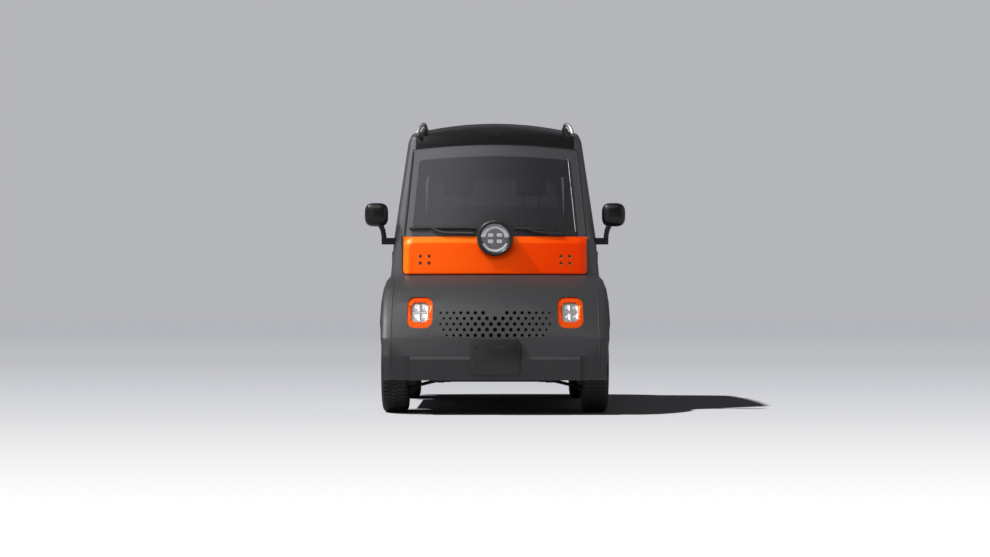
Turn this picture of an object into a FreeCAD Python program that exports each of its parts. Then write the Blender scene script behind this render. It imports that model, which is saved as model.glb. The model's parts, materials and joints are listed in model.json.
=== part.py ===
"""A narrow two-seat electric microcar, built as separate pieces in one frame.

The front faces -Y, the car's left side is +X, +Z is up, and the origin is on the ground at the middle
of the whole car's box. Lengths are in millimetres.
"""
import FreeCAD, Part
import Sketcher
import math
import os
import re
from FreeCAD import Placement, Rotation, Vector

doc = FreeCAD.newDocument("microcar")
sheet = doc.addObject("Spreadsheet::Sheet", "Sizes")

SIZES = {
    # running gear
    "front_axle_y": -905,
    "rear_axle_y": 800,
    "half_track": 560,
    "tyre_radius": 254,
    "tyre_width": 148,
    "bead_radius": 152,
    "tread_half": 56,
    "sidewall_bulge_radius": 212,
    "bead_half": 60,
    "rim_wall": 8,
    "hub_bore": 15.05,
    "stub_radius": 15,
    "hub_radius": 34,
    "disc_face": 22,
    "disc_wall": 10,
    "brake_radius": 86,
    "brake_wall": 10,
    "brake_face": 58,
    "wheel_hole_radius": 17,
    "wheel_hole_circle": 96,
    "wheel_hole_count": 8,
    "stub_reach": 24,
    "kingpin_x": 515,
    "kingpin_z": 145,
    "kingpin_lean": 13,
    "upright_inner": 470,
    "upright_outer": 495,
    "upright_half": 30,
    "upright_top": 344,
    "upright_foot": 154,
    "upright_foot_wall": 8,
    "ball_radius": 13,
    "ball_play": 0.05,
    "ball_neck_radius": 8,
    "ball_cup_radius": 18,
    "ball_cup_foot": 121,
    "strut_radius": 20,
    "strut_start": 170,
    "strut_length": 500,
    "arm_radius": 8,
    "arm_spread": 75,
    "arm_inner_x": 325.3,
    "arm_z": 178,
    "arm_tip_z": 130,
    # frame below the floor
    "rail_inner": 285,
    "rail_outer": 325,
    "rail_foot": 168,
    "rail_top": 189.7,
    "rail_front": -1000,
    "rail_rear": 1150,
    "cross_depth": 50,
    "nose_cross_front": -880,
    "seat_cross_front": -500,
    "seat_cross_rear": 350,
    "tower_plate_half": 50,
    "tower_plate_wall": 8,
    "tower_arm_inner": 250,
    "tower_arm_half": 22,
    "battery_half": 255,
    "battery_front": 500,
    "battery_rear": 672,
    "battery_foot": 190,
    "battery_top": 468,
    "drive_half": 150,
    "drive_front": 690,
    "drive_rear": 910,
    "drive_foot": 175,
    "drive_top": 375,
    "axle_tube_radius": 30,
    "axle_tube_outer": 462,
    "trailing_inner": 330,
    "trailing_outer": 372,
    "trailing_front": 560,
    "trailing_foot": 205,
    "trailing_top": 245,
    "spring_radius": 38,
    "spring_x": 400,
    "spring_top": 499.7,
    "axle_rail_gap": 0.3,
    # walls and fits
    "wall": 45,
    "skin": 10,
    "glass_wall": 6,
    "glass_inset": 3,
    "door_glass_inset": 20,
    "seam": 2,
    "fit_gap": 0.3,
    "door_gap": 14,
    "overrun": 60,
    "reach": 900,
    # cabin outline
    "cabin_front_bow": 60,
    "cabin_rear_bow": 40,
    "cabin_front_corner": 60,
    "cabin_rear_corner": 110,
    "roof_shoulder_drop": 142,
    "roof_shoulder_width": 38,
    "shoulder_pull_share": 0.6,
    "roof_arch_half": 471,
    "roof_arch_drop": 58,
    "roof_panel_foot": 1400,
    # openings in the cabin walls
    "bulkhead_y": -606,
    "bulkhead_knee_z": 560,
    "bulkhead_top_y": -742,
    "foot_box_half": 245,
    "foot_box_front": -860,
    "foot_box_top": 600,
    "floor_z": 190,
    "floor_wall": 22,
    "tub_step_y": 480,
    "load_floor_z": 500,
    "tub_rear_y": 1052,
    "tub_rear_z": 655,
    "screen_foot_half": 531,
    "screen_top_half": 487,
    "screen_edge_top": 1527,
    "screen_crown": 1553,
    "panel_foot_half": 540,
    "panel_top_half": 535,
    "panel_foot": 777,
    "screen_foot": 1001,
    "panel_corner": 28,
    "door_front": -577,
    "door_foot": 305,
    "door_knee": 893,
    "door_head_front": -293,
    "door_head": 1530,
    "door_head_rear": 335,
    "door_rear": 365,
    "door_corner": 55,
    "window_belt": 980,
    "window_front": -455,
    "window_head_front": -232,
    "window_head": 1462,
    "window_rear": 290,
    "window_corner": 35,
    "door_hinge_x": 585,
    "door_hinge_y": -558,
    "hinge_pin": 5,
    "hinge_play": 0.05,
    "hinge_low_foot": 285,
    "hinge_low_top": 345,
    "hinge_high_foot": 895,
    "hinge_high_top": 985,
    "gate_hinge_x": 150,
    "gate_hinge_y": 1045,
    "gate_hinge_z": 1459,
    "gate_hinge_arm_half": 9,
    "gate_hinge_pin_half": 24,
    "gate_hinge_slack": 5,
    "quarter_front": 420,
    "quarter_window_front": 475,
    "quarter_window_head": 1392,
    "quarter_window_head_rear": 799,
    "quarter_window_rear": 875,
    "gate_foot_half": 486,
    "gate_top_half": 440,
    "gate_foot": 668,
    "gate_top": 1478,
    "gate_corner": 45,
    "gate_window_foot": 1250,
    "gate_window_head": 1440,
    "gate_window_foot_half": 422,
    "gate_window_head_half": 392,
    "gate_front_y": 900,
    "tail_lamp_inner": 503,
    "tail_lamp_outer": 556,
    "tail_lamp_foot": 735,
    "tail_lamp_top": 950,
    "tail_lamp_round": 20,
    # nose and tail mouldings
    "nose_rear": -592,
    "nose_corner": 70,
    "nose_rear_corner": 40,
    "fascia_half": 580,
    "front_arch": 290,
    "rear_arch": 282,
    "liner_radius": 295,
    "liner_wall": 5,
    "liner_inner": 350,
    "liner_outer": 640,
    "liner_start": 15,
    "strut_slot": 62,
    "tail_front": 470,
    "tail_front_corner": 40,
    "tail_corner": 110,
    "tail_bow": 40,
    "bumper_split_z": 655,
    "bumper_front": 1092,
    "bumper_ledge_z": 319,
    "bumper_ledge_depth": 20,
    "bumper_ledge_chamfer": 14,
    "bumper_half": 470,
    # grille
    "grille_top_z": 561,
    "grille_pitch_z": 31,
    "grille_half": 303,
    "grille_hole_centre": 13,
    "grille_hole_edge": 7,
    # lamps
    "side_lamp_x": 420,
    "side_lamp_z": 563,
    "side_lamp_width": 144,
    "side_lamp_height": 173,
    "side_lamp_round": 45,
    "side_lens_width": 90,
    "side_lens_height": 106,
    "side_lens_round": 26,
    "bezel_inset": 9,
    "lens_inset": 14,
    "lens_wall": 4,
    "bezel_back": 38,
    "headlamp_z": 989,
    "headlamp_radius": 104,
    "headlamp_front": -778,
    "headlamp_rear": -640,
    "headlamp_lens_radius": 85,
    "headlamp_round": 12,
    "headlamp_cup_depth": 46,
    "headlamp_lens_bulge": 10,
    "lamp_module_width": 38,
    "lamp_module_height": 25,
    "lamp_module_gap_x": 13,
    "lamp_module_gap_z": 11,
    "lamp_module_depth": 16,
    "lamp_disc_radius": 58,
    "lamp_disc_wall": 8,
    # outside pieces
    "plate_half": 138.5,
    "plate_foot": 221,
    "plate_top": 419,
    "plate_wall": 10,
    "plate_corner": 32,
    "plate_screw_x": 103,
    "plate_screw_low": 287,
    "plate_screw_high": 371,
    "plate_screw_radius": 4,
    "mirror_x": 692,
    "mirror_y": -600,
    "mirror_z": 1131,
    "mirror_width": 137,
    "mirror_height": 138,
    "mirror_depth": 62,
    "mirror_round": 40,
    "mirror_edge": 12,
    "mirror_stalk_radius": 14,
    "mirror_stalk_x": 645,
    "mirror_stalk_foot": 976,
    "mirror_bracket_half": 20,
    "mirror_bracket_y": -598,
    "mirror_bracket_outer": 659,
    "handle_z": 903,
    "handle_height": 72,
    "handle_rear": 330,
    "handle_length": 150,
    "handle_outer": 642,
    "handle_edge": 9,
    "roof_rail_x": 474,
    "roof_rail_half": 12,
    "roof_rail_top": 1706,
    "roof_rail_front": -370,
    "roof_rail_rear": 640,
    "roof_rail_foot_run": 90,
    "roof_rail_height": 20,
    "wiper_left_tip_x": -496,
    "wiper_left_end_x": -125,
    "wiper_right_tip_x": 118,
    "wiper_right_end_x": 392,
    "wiper_z": 1040,
    "wiper_pivot_z": 1015,
    "wiper_height": 12,
    "wiper_depth": 14,
    "wiper_pivot_radius": 9,
    # cabin
    "dash_door_gap": 8,
    "dash_hinge_clearance": 58,
    "dash_rear": -500,
    "dash_foot": 760,
    "dash_top": 985,
    "dash_round": 40,
    "wheel_x": 225,
    "wheel_y": -415,
    "wheel_z": 905,
    "wheel_radius": 172,
    "wheel_grip": 14,
    "wheel_lean": 25,
    "wheel_hub_radius": 46,
    "wheel_hub_depth": 36,
    "wheel_spoke_half": 16,
    "wheel_spoke_wall": 14,
    "column_radius": 24,
    "column_gap": 0.3,
    "seat_x": 225,
    "seat_half": 205,
    "seat_front": -500,
    "seat_rear": -60,
    "seat_foot": 420,
    "seat_top": 540,
    "seat_round": 34,
    "seat_base_half": 175,
    "back_foot_y": -58,
    "back_foot_z": 545,
    "back_length": 640,
    "back_thick": 110,
    "back_lean": 14,
    "back_half": 200,
    "headrest_half": 100,
    "headrest_y": 98,
    "headrest_z": 1342,
    "headrest_height": 124,
    "headrest_thick": 84,
    "headrest_round": 30,
    "headrest_post_length": 180,
    "headrest_post_radius": 7,
    "headrest_post_x": 50,
    "back_shell": 16,
}


def table(prefix, columns, rows):
    """Add one named size for each row and column of an outline table."""
    for row, values in rows.items():
        for column, value in zip(columns, values):
            SIZES[prefix + "_" + row + "_" + column] = value
    return tuple(rows)


CABIN_LEVELS = table("cabin", ("z", "half", "front", "rear"), {
    "foot": (190, 591, -935, 1110),
    "panel": (777, 604, -770, 1097),
    "belt": (1001, 588, -690, 1088),
    "header": (1553, 520, -445, 1060),
    "crown": (1900, 474, -290, 1035),
})
ROOF_STATIONS = table("roof", ("y", "z"), {
    "ahead": (-1000, 1440),
    "nose": (-560, 1440),
    "brow": (-420, 1608),
    "header": (-350, 1662),
    "front": (-230, 1697),
    "middle": (130, 1706),
    "back": (480, 1682),
    "tail": (860, 1600),
    "lip": (1010, 1545),
    "end": (1130, 1430),
})
NOSE_LEVELS = table("nose", ("z", "half", "front", "bow"), {
    "lip": (190, 640, -1219, 14),
    "foot": (320, 645, -1223, 14),
    "low": (420, 645, -1193, 20),
    "middle": (520, 645, -1144, 48),
    "lamp": (620, 643, -1074, 70),
    "high": (695, 636, -978, 80),
    "deck": (745, 622, -875, 75),
    "top": (776, 600, -792, 60),
})
TAIL_LEVELS = table("tail", ("z", "half", "rear"), {
    "lip": (190, 632, 1249),
    "foot": (330, 642, 1244),
    "low": (510, 645, 1220),
    "middle": (645, 642, 1180),
    "high": (715, 628, 1135),
    "top": (776, 603, 1101),
})

for line, (alias, value) in enumerate(SIZES.items(), 1):
    sheet.set("A%d" % line, alias)
    sheet.set("B%d" % line, str(value))
    sheet.setAlias("B%d" % line, alias)
doc.recompute()


class Sizes:
    """The sheet's values, read by alias."""

    def __getattr__(self, alias):
        return float(sheet.get(alias))

    def __getitem__(self, alias):
        return float(sheet.get(alias))


s = Sizes()
X, Y, Z = Vector(1, 0, 0), Vector(0, 1, 0), Vector(0, 0, 1)
NODES = []
CORNER_PULL = 0.465


def tied(text):
    """An expression on the sheet's cells, written with bare aliases."""
    def named(word):
        return ("Sizes." if word.group() in SIZES else "") + word.group()
    return re.sub(r"[a-z][a-z_0-9]*", named, text)


def bind(item, **links):
    """Tie properties of an object to the sheet."""
    for name, text in links.items():
        item.setExpression(name, tied(text))
    return item


def put(item, x="0", y="0", z="0"):
    """Tie an object's place to the sheet."""
    for axis, text in zip("xyz", (x, y, z)):
        item.setExpression("Placement.Base." + axis, tied(text))
    return item


def node(item, label):
    """Give a finished sub-part the label that names its file."""
    item.Label = label
    NODES.append(item)
    return item


def feature(name, shape):
    """An object whose shape is worked out here from the sheet's values."""
    item = doc.addObject("Part::Feature", name)
    item.Shape = shape
    return item


def box(name, x, y, z):
    """A Part box between two expressions along each axis."""
    item = doc.addObject("Part::Box", name)
    sides = dict(Length=x, Width=y, Height=z)
    bind(item, **{side: "(%s) - (%s)" % (span[1], span[0]) for side, span in sides.items()})
    return put(item, x[0], y[0], z[0])


def combine(kind, name, *items):
    """A Part boolean: Cut takes a base and a tool, the others a list."""
    item = doc.addObject("Part::" + kind, name)
    if kind == "Cut":
        item.Base, item.Tool = items
    else:
        item.Shapes = list(items)
    return item


def mirrored(name, source):
    """The same piece on the car's other side."""
    item = doc.addObject("Part::Mirroring", name)
    item.Source = source
    item.Normal = X
    return item


def sketch_on(body, plane, name):
    """A sketch on one of the body's own origin planes."""
    sketch = body.newObject("Sketcher::SketchObject", name)
    sketch.AttachmentSupport = [(next(f for f in body.Origin.OriginFeatures if f.Role == plane), "")]
    sketch.MapMode = "FlatFace"
    return sketch


def closed_profile(sketch, corners):
    """Draw a closed outline and tie each corner to expressions on the sheet."""
    doc.recompute()
    values = [tuple(evaluate(text) for text in corner) for corner in corners]
    points = [Vector(x, y, 0) for x, y in values]
    count = len(points)
    for index, point in enumerate(points):
        sketch.addGeometry(Part.LineSegment(point, points[(index + 1) % count]), False)
    for index in range(count):
        sketch.addConstraint(constraint("Coincident", index, 2, (index + 1) % count, 1))
    for index, corner in enumerate(corners):
        for kind, value, text in zip(("DistanceX", "DistanceY"), values[index], corner):
            number = sketch.addConstraint(constraint(kind, -1, 1, index, 1, value))
            sketch.setExpression("Constraints[%d]" % number, tied(text))


def constraint(*values):
    """One sketch constraint."""
    return Sketcher.Constraint(*values)


def evaluate(text):
    """The value of an expression on the sheet, by the document's own rules."""
    return float(sheet.evalExpression(tied(text)))


# Outlines

def corner_curve(start, along, end, leaving):
    """A soft corner between two directions."""
    pull = (end - start).Length * CORNER_PULL
    curve = Part.BezierCurve()
    curve.setPoles([start, start + along * pull, end - leaving * pull, end])
    return curve.toShape()


def bowed_edge(start, crest, end):
    """An arc across the car whose middle reaches a given y, or a line if it has no bow."""
    if abs(crest - start.y) < s.fit_gap:
        return Part.LineSegment(start, end).toShape()
    return Part.Arc(start, Vector(0, crest, start.z), end).toShape()


def plan_outline(z, half, front, rear, bows, corners):
    """A closed plan section: bowed front and rear, straight sides, soft corners."""
    front_half = half - corners[0]
    rear_half = half - corners[1]
    front_run = Vector(1, 2 * bows[0] / front_half, 0).normalize()
    rear_run = Vector(-1, -2 * bows[1] / rear_half, 0).normalize()
    front_run_back = Vector(front_run.x, -front_run.y, 0)
    rear_run_in = Vector(rear_run.x, -rear_run.y, 0)
    nose_left = Vector(front_half, front + bows[0], z)
    nose_right = Vector(-front_half, front + bows[0], z)
    side_front = Vector(half, front + bows[0] + corners[0], z)
    side_rear = Vector(half, rear - bows[1] - corners[1], z)
    tail_left = Vector(rear_half, rear - bows[1], z)
    tail_right = Vector(-rear_half, rear - bows[1], z)
    far_front = Vector(-half, side_front.y, z)
    far_rear = Vector(-half, side_rear.y, z)
    return Part.Wire([
        bowed_edge(nose_right, front, nose_left),
        corner_curve(nose_left, front_run, side_front, Y),
        Part.LineSegment(side_front, side_rear).toShape(),
        corner_curve(side_rear, Y, tail_left, rear_run_in),
        bowed_edge(tail_left, rear, tail_right),
        corner_curve(tail_right, rear_run, far_rear, -Y),
        Part.LineSegment(far_rear, far_front).toShape(),
        corner_curve(far_front, -Y, nose_right, front_run_back),
    ])


def side_half(z):
    """The cabin's half width at a height above the belt."""
    rise = (z - s.cabin_belt_z) / (s.cabin_header_z - s.cabin_belt_z)
    return s.cabin_belt_half + (s.cabin_header_half - s.cabin_belt_half) * rise


def roof_outline(y, top, inset):
    """A cross section of the roof: an arch, two soft shoulders and sides that stand clear of the cabin."""
    join = top - s.roof_shoulder_drop
    half = side_half(join + inset) - inset + s.seam
    edge_half = half - s.roof_shoulder_width
    edge_z = top - s.roof_arch_drop
    along_side = Vector(side_half(join + s.wall) - side_half(join), 0, s.wall).normalize()
    left_join, left_edge = Vector(half, y, join), Vector(edge_half, y, edge_z)
    right_join, right_edge = Vector(-half, y, join), Vector(-edge_half, y, edge_z)
    rise, reach = s.roof_shoulder_drop - s.roof_arch_drop, s.roof_shoulder_width
    arch_run = Vector(edge_half, 0, 2 * s.roof_arch_drop).normalize()
    left = Part.BezierCurve()
    left.setPoles([left_join, left_join + along_side * rise * s.shoulder_pull_share,
                   left_edge + Vector(arch_run.x, 0, -arch_run.z) * reach * s.shoulder_pull_share, left_edge])
    right = Part.BezierCurve()
    right.setPoles([Vector(-pole.x, pole.y, pole.z) for pole in reversed(left.getPoles())])
    low = -s.reach
    base = Part.makePolygon([right_join, Vector(low, y, low), Vector(-low, y, low), left_join])
    return Part.Wire(base.Edges + [left.toShape(), Part.Arc(left_edge, Vector(0, y, top), right_edge).toShape(),
                                   right.toShape()])


def cabin_solid(inset):
    """The cabin's outer form, or the same form further in."""
    sections = []
    for level in CABIN_LEVELS:
        z, half, front, rear = (s["cabin_%s_%s" % (level, side)] for side in ("z", "half", "front", "rear"))
        if inset > 0 and level == CABIN_LEVELS[0]:
            z -= s.overrun
        bows = (s.cabin_front_bow, s.cabin_rear_bow)
        corners = (s.cabin_front_corner, s.cabin_rear_corner)
        sections.append(plan_outline(z, half - inset, front + inset, rear - inset, bows, corners))
    tower = Part.makeLoft(sections, True, True)
    stations = [roof_outline(s["roof_%s_y" % station], s["roof_%s_z" % station] - inset, inset)
                for station in ROOF_STATIONS]
    return tower.common(Part.makeLoft(stations, True, True))


def nose_solid(inset):
    """The nose's outer form, or the same form further in."""
    sections = []
    for level in NOSE_LEVELS:
        z, half, front, bow = (s["nose_%s_%s" % (level, side)] for side in ("z", "half", "front", "bow"))
        if inset > 0 and level == NOSE_LEVELS[0]:
            z -= s.overrun
        if inset > 0 and level == NOSE_LEVELS[-1]:
            z -= inset
        corners = (s.nose_corner, s.nose_rear_corner)
        sections.append(plan_outline(z, half - inset, front + inset, s.nose_rear - inset, (bow, 0), corners))
    return Part.makeLoft(sections, True, True)


def tail_solid(inset):
    """The rear moulding's outer form, or the same form further in."""
    sections = []
    for level in TAIL_LEVELS:
        z, half, rear = (s["tail_%s_%s" % (level, side)] for side in ("z", "half", "rear"))
        if inset > 0 and level == TAIL_LEVELS[0]:
            z -= s.overrun
        corners = (s.tail_front_corner, s.tail_corner)
        sections.append(plan_outline(z, half - inset, s.tail_front + inset, rear - inset, (0, s.tail_bow), corners))
    return Part.makeLoft(sections, True, True)


def rounded_outline(points, radii):
    """A closed wire through corners, each one rounded by an arc of its own radius."""
    count = len(points)
    edges, starts, ends = [], [], []
    for index, (point, radius) in enumerate(zip(points, radii)):
        back = (points[index - 1] - point).normalize()
        ahead = (points[(index + 1) % count] - point).normalize()
        half_angle = back.getAngle(ahead) / 2
        run = radius / math.tan(half_angle) if radius else 0
        starts.append(point + back * run)
        ends.append(point + ahead * run)
        if radius:
            centre = point + (back + ahead).normalize() * (radius / math.sin(half_angle))
            top = centre + (point - centre).normalize() * radius
            edges.append(Part.Arc(starts[-1], top, ends[-1]).toShape())
    for index in range(count):
        edges.append(Part.LineSegment(ends[index], starts[(index + 1) % count]).toShape())
    return Part.Wire(Part.__sortEdges__(edges))


def side_prism(corners, radius, start, end):
    """A prism along X over an outline of (y, z) corners."""
    points = [Vector(start, y, z) for y, z in corners]
    radii = radius if isinstance(radius, (list, tuple)) else [radius] * len(points)
    return Part.Face(rounded_outline(points, radii)).extrude(X * (end - start))


def front_prism(corners, radius, start, end):
    """A prism along Y over an outline of (x, z) corners."""
    points = [Vector(x, start, z) for x, z in corners]
    radii = radius if isinstance(radius, (list, tuple)) else [radius] * len(points)
    return Part.Face(rounded_outline(points, radii)).extrude(Y * (end - start))


def block(x, y, z):
    """A box solid between two values along each axis."""
    return Part.makeBox(x[1] - x[0], y[1] - y[0], z[1] - z[0], Vector(x[0], y[0], z[0]))


def frame_corners(centre, width, height):
    """The four corners of an upright rectangle about a centre."""
    x, z = centre
    return [(x - width / 2, z - height / 2), (x + width / 2, z - height / 2),
            (x + width / 2, z + height / 2), (x - width / 2, z + height / 2)]


def grown(corners, gap):
    """An outline's corners moved away from its middle along both axes."""
    middle = [sum(c[axis] for c in corners) / len(corners) for axis in (0, 1)]
    return [tuple(c[axis] + gap * math.copysign(1, c[axis] - middle[axis]) for axis in (0, 1)) for c in corners]


# Shared forms

cabin_outer = cabin_solid(0)
cabin_inner = cabin_solid(s.wall)
cabin_wall = cabin_outer.cut(cabin_inner)
cabin_keepout = cabin_solid(-s.fit_gap)
nose_outer = nose_solid(0)
nose_shell = nose_outer.cut(nose_solid(s.skin)).cut(cabin_keepout)
tail_outer = tail_solid(0)
tail_shell = tail_outer.cut(tail_solid(s.skin)).cut(cabin_outer)

far = s.reach
front_edge, rear_edge = -2 * s.reach, 2 * s.reach
front_wheel_space = Part.makeCylinder(s.front_arch, 2 * far, Vector(-far, s.front_axle_y, s.tyre_radius), X)
rear_wheel_space = Part.makeCylinder(s.rear_arch, 2 * far, Vector(-far, s.rear_axle_y, s.tyre_radius), X)
rear_arch_inner = s.half_track - s.tyre_width / 2 - s.rim_wall * 2


def screen_prism(gap):
    """The windshield's opening: a trapezoid with an arched head."""
    low_left = Vector(s.screen_foot_half - gap, front_edge, s.screen_foot + gap)
    low_right = Vector(-low_left.x, front_edge, low_left.z)
    top_left = Vector(s.screen_top_half - gap, front_edge, s.screen_edge_top - gap)
    top_right = Vector(-top_left.x, front_edge, top_left.z)
    head = Part.Arc(top_left, Vector(0, front_edge, s.screen_crown - gap), top_right).toShape()
    sides = [Part.LineSegment(low_right, low_left).toShape(), Part.LineSegment(low_left, top_left).toShape(),
             Part.LineSegment(top_right, low_right).toShape()]
    return Part.Face(Part.Wire(Part.__sortEdges__([head] + sides))).extrude(Y * (s.roof_front_y - front_edge))


panel_corners = [(-s.panel_foot_half, s.panel_foot), (s.panel_foot_half, s.panel_foot),
                 (s.panel_top_half, s.screen_foot), (-s.panel_top_half, s.screen_foot)]
panel_space = front_prism(panel_corners, [s.panel_corner, s.panel_corner, 0, 0], front_edge, s.bulkhead_y)
front_low_space = side_prism([(front_edge, -far), (s.bulkhead_y, -far), (s.bulkhead_y, s.bulkhead_knee_z),
                              (s.bulkhead_top_y, s.panel_foot), (front_edge, s.panel_foot)],
                             0, -far, far)
roof_space = block((-s.roof_arch_half, s.roof_arch_half), (front_edge, rear_edge), (s.roof_panel_foot, 2 * far))
gate_corners = [(-s.gate_foot_half, s.gate_foot), (s.gate_foot_half, s.gate_foot),
                (s.gate_top_half, s.gate_top), (-s.gate_top_half, s.gate_top)]
gate_space = front_prism(grown(gate_corners, s.door_gap), s.gate_corner + s.door_gap, s.gate_front_y, rear_edge)
gate_prism = front_prism(gate_corners, s.gate_corner, s.gate_front_y, rear_edge)
door_corners = [(s.door_front, s.door_foot), (s.door_front, s.door_knee), (s.door_head_front, s.door_head),
                (s.door_head_rear, s.door_head), (s.door_rear, s.window_belt), (s.door_rear, s.door_foot)]
door_radii = [s.door_corner, 2 * s.door_corner, s.door_corner, s.door_corner, s.door_corner * 4, s.door_corner]
door_prism = side_prism(door_corners, door_radii, 0, far)
window_corners = [(s.window_front, s.window_belt), (s.window_head_front, s.window_head),
                  (s.window_rear, s.window_head), (s.window_rear, s.window_belt)]
window_prism = side_prism(window_corners, s.window_corner, 0, far)
quarter_corners = [(s.quarter_window_front, s.window_belt), (s.quarter_window_front, s.quarter_window_head),
                   (s.quarter_window_head_rear, s.quarter_window_head), (s.quarter_window_rear, s.window_belt)]
quarter_prism = side_prism(quarter_corners, s.window_corner, 0, far)
headlamp_axis = Vector(0, s.headlamp_front, s.headlamp_z)
headlamp_space = Part.makeCylinder(s.headlamp_radius + s.fit_gap, far, headlamp_axis - Y * s.overrun, Y)
tail_lamp_corners = [(s.tail_lamp_inner, s.tail_lamp_foot), (s.tail_lamp_outer, s.tail_lamp_foot),
                     (s.tail_lamp_outer, s.tail_lamp_top), (s.tail_lamp_inner, s.tail_lamp_top)]
tail_lamp_prism = front_prism(tail_lamp_corners, s.tail_lamp_round, s.gate_front_y, rear_edge)


def door_opening():
    """The doorway: the door's outline with the shut gap all round."""
    gap = s.door_gap
    corners = [(s.door_front - gap, s.door_foot - gap), (s.door_front - gap, s.door_knee),
               (s.door_head_front - gap, s.door_head + gap), (s.door_head_rear + gap, s.door_head + gap),
               (s.door_rear + gap, s.window_belt), (s.door_rear + gap, s.door_foot - gap)]
    return side_prism(corners, door_radii, 0, far)


def both_sides(shape):
    """A left shape and its mirror image as one."""
    return Part.makeCompound([shape, shape.mirror(Vector(), X)])


def pair(name, shape):
    """A left piece as made and its mirror image on the right."""
    left = feature(name + "_left", shape)
    node(left, name + "_left")
    node(mirrored(name + "_right", left), name + "_right")


# Body panels

left_half = block((0, far), (front_edge, rear_edge), (-far, 2 * far))
wall_left = cabin_wall.common(left_half).cut(screen_prism(0)).cut(front_low_space)
wall_left = wall_left.cut(roof_space.cut(screen_prism(0)))

side_region = block((0, far), (front_edge, s.quarter_front), (-far, 2 * far))
side_frame = wall_left.common(side_region).cut(panel_space).cut(door_opening())
hinge_pins = []
for foot, top in ((s.hinge_low_foot, s.hinge_low_top), (s.hinge_high_foot, s.hinge_high_top)):
    hinge_pins.append(Part.makeCylinder(s.hinge_pin, top - foot, Vector(s.door_hinge_x, s.door_hinge_y, foot)))
pair("side_frame", side_frame.fuse(hinge_pins))

quarter_region = block((0, far), (s.quarter_front, rear_edge), (-far, 2 * far))
tail_left = tail_shell.common(quarter_region)
bumper_space = block((-far, far), (s.bumper_front, rear_edge), (-far, s.bumper_split_z))
rear_low_space = block((-s.gate_foot_half - s.door_gap, s.gate_foot_half + s.door_gap),
                       (s.tub_rear_y - s.wall, rear_edge), (-far, s.gate_foot))
quarter_wall = wall_left.common(quarter_region).cut(quarter_prism).cut(gate_space).cut(rear_low_space)
quarter = quarter_wall.fuse(tail_left.cut(bumper_space).cut(rear_low_space).cut(gate_space))
quarter = quarter.cut(rear_wheel_space).cut(tail_lamp_prism)
pair("rear_quarter", quarter)


def gate_hinges(pin, half, arm_half, rise, back, out):
    """Both tailgate hinges: a pin along X and the arm that comes down to it from the roof."""
    solids = []
    for side in (-1, 1):
        x = side * s.gate_hinge_x
        solids.append(Part.makeCylinder(pin, 2 * half, Vector(x - half, s.gate_hinge_y, s.gate_hinge_z), X))
        solids.append(block((x - arm_half, x + arm_half), (s.gate_hinge_y - back, s.gate_hinge_y + out),
                            (s.gate_hinge_z - back, s.gate_hinge_z + rise)))
    return solids


roof = cabin_wall.common(roof_space).cut(screen_prism(0)).cut(gate_space)
hinge_rise = s.gate_top + s.door_gap + s.hinge_pin - s.gate_hinge_z
roof = roof.fuse(gate_hinges(s.hinge_pin, s.gate_hinge_pin_half, s.gate_hinge_arm_half, hinge_rise, s.hinge_pin,
                             s.hinge_pin))
node(feature("roof_panel", roof), "roof_panel")

screen_shell = cabin_solid(s.glass_inset).cut(cabin_solid(s.glass_inset + s.glass_wall))
windshield = screen_shell.common(screen_prism(0)).cut(headlamp_space)
node(feature("windshield", windshield), "windshield")

front_panel = cabin_wall.common(panel_space).cut(headlamp_space)
node(feature("front_panel", front_panel), "front_panel")

door = cabin_wall.common(door_prism).cut(window_prism)
for foot, top in ((s.hinge_low_foot, s.hinge_low_top), (s.hinge_high_foot, s.hinge_high_top)):
    door = door.cut(Part.makeCylinder(s.hinge_pin + s.hinge_play, top - foot + 2 * s.fit_gap,
                                      Vector(s.door_hinge_x, s.door_hinge_y, foot - s.fit_gap)))
pair("door", door)

door_glass_shell = cabin_solid(s.door_glass_inset).cut(cabin_solid(s.door_glass_inset + s.glass_wall))
pair("door_glass", door_glass_shell.common(window_prism))
quarter_glass = door_glass_shell.common(side_prism(grown(quarter_corners, -s.fit_gap), s.window_corner, 0, far))
node(feature("quarter_glasses", both_sides(quarter_glass)), "quarter_glasses")

gate_window_corners = [(-s.gate_window_foot_half, s.gate_window_foot),
                       (s.gate_window_foot_half, s.gate_window_foot),
                       (s.gate_window_head_half, s.gate_window_head),
                       (-s.gate_window_head_half, s.gate_window_head)]
gate_window = front_prism(gate_window_corners, [s.window_corner / 2, s.window_corner / 2,
                                                s.window_corner * 2, s.window_corner * 2], s.gate_front_y, rear_edge)
gate = cabin_wall.common(gate_prism).fuse(tail_shell.common(gate_prism)).cut(gate_window)
gate = gate.cut(Part.makeCompound(gate_hinges(s.hinge_pin + s.hinge_play, s.gate_hinge_pin_half + s.fit_gap,
                                             s.gate_hinge_arm_half + s.gate_hinge_slack, s.wall,
                                             s.hinge_pin + s.gate_hinge_slack, s.overrun)))
node(feature("tailgate", gate), "tailgate")
node(feature("tailgate_glass", door_glass_shell.common(gate_window)), "tailgate_glass")

tail_lamp = cabin_wall.fuse(tail_shell).common(tail_lamp_prism)
node(feature("tail_lamps", both_sides(tail_lamp)), "tail_lamps")
node(feature("rear_bumper", tail_shell.common(bumper_space)), "rear_bumper")

# Nose


def hex_hole(x, z, radius):
    """A six-sided hole along Y with its corners up and down."""
    turns = [math.pi * (2 * step + 1) / 6 for step in range(6)]
    corners = [Vector(x + radius * math.cos(turn), front_edge, z + radius * math.sin(turn)) for turn in turns]
    return Part.Face(Part.makePolygon(corners + corners[:1])).extrude(Y * -front_edge)


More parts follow.
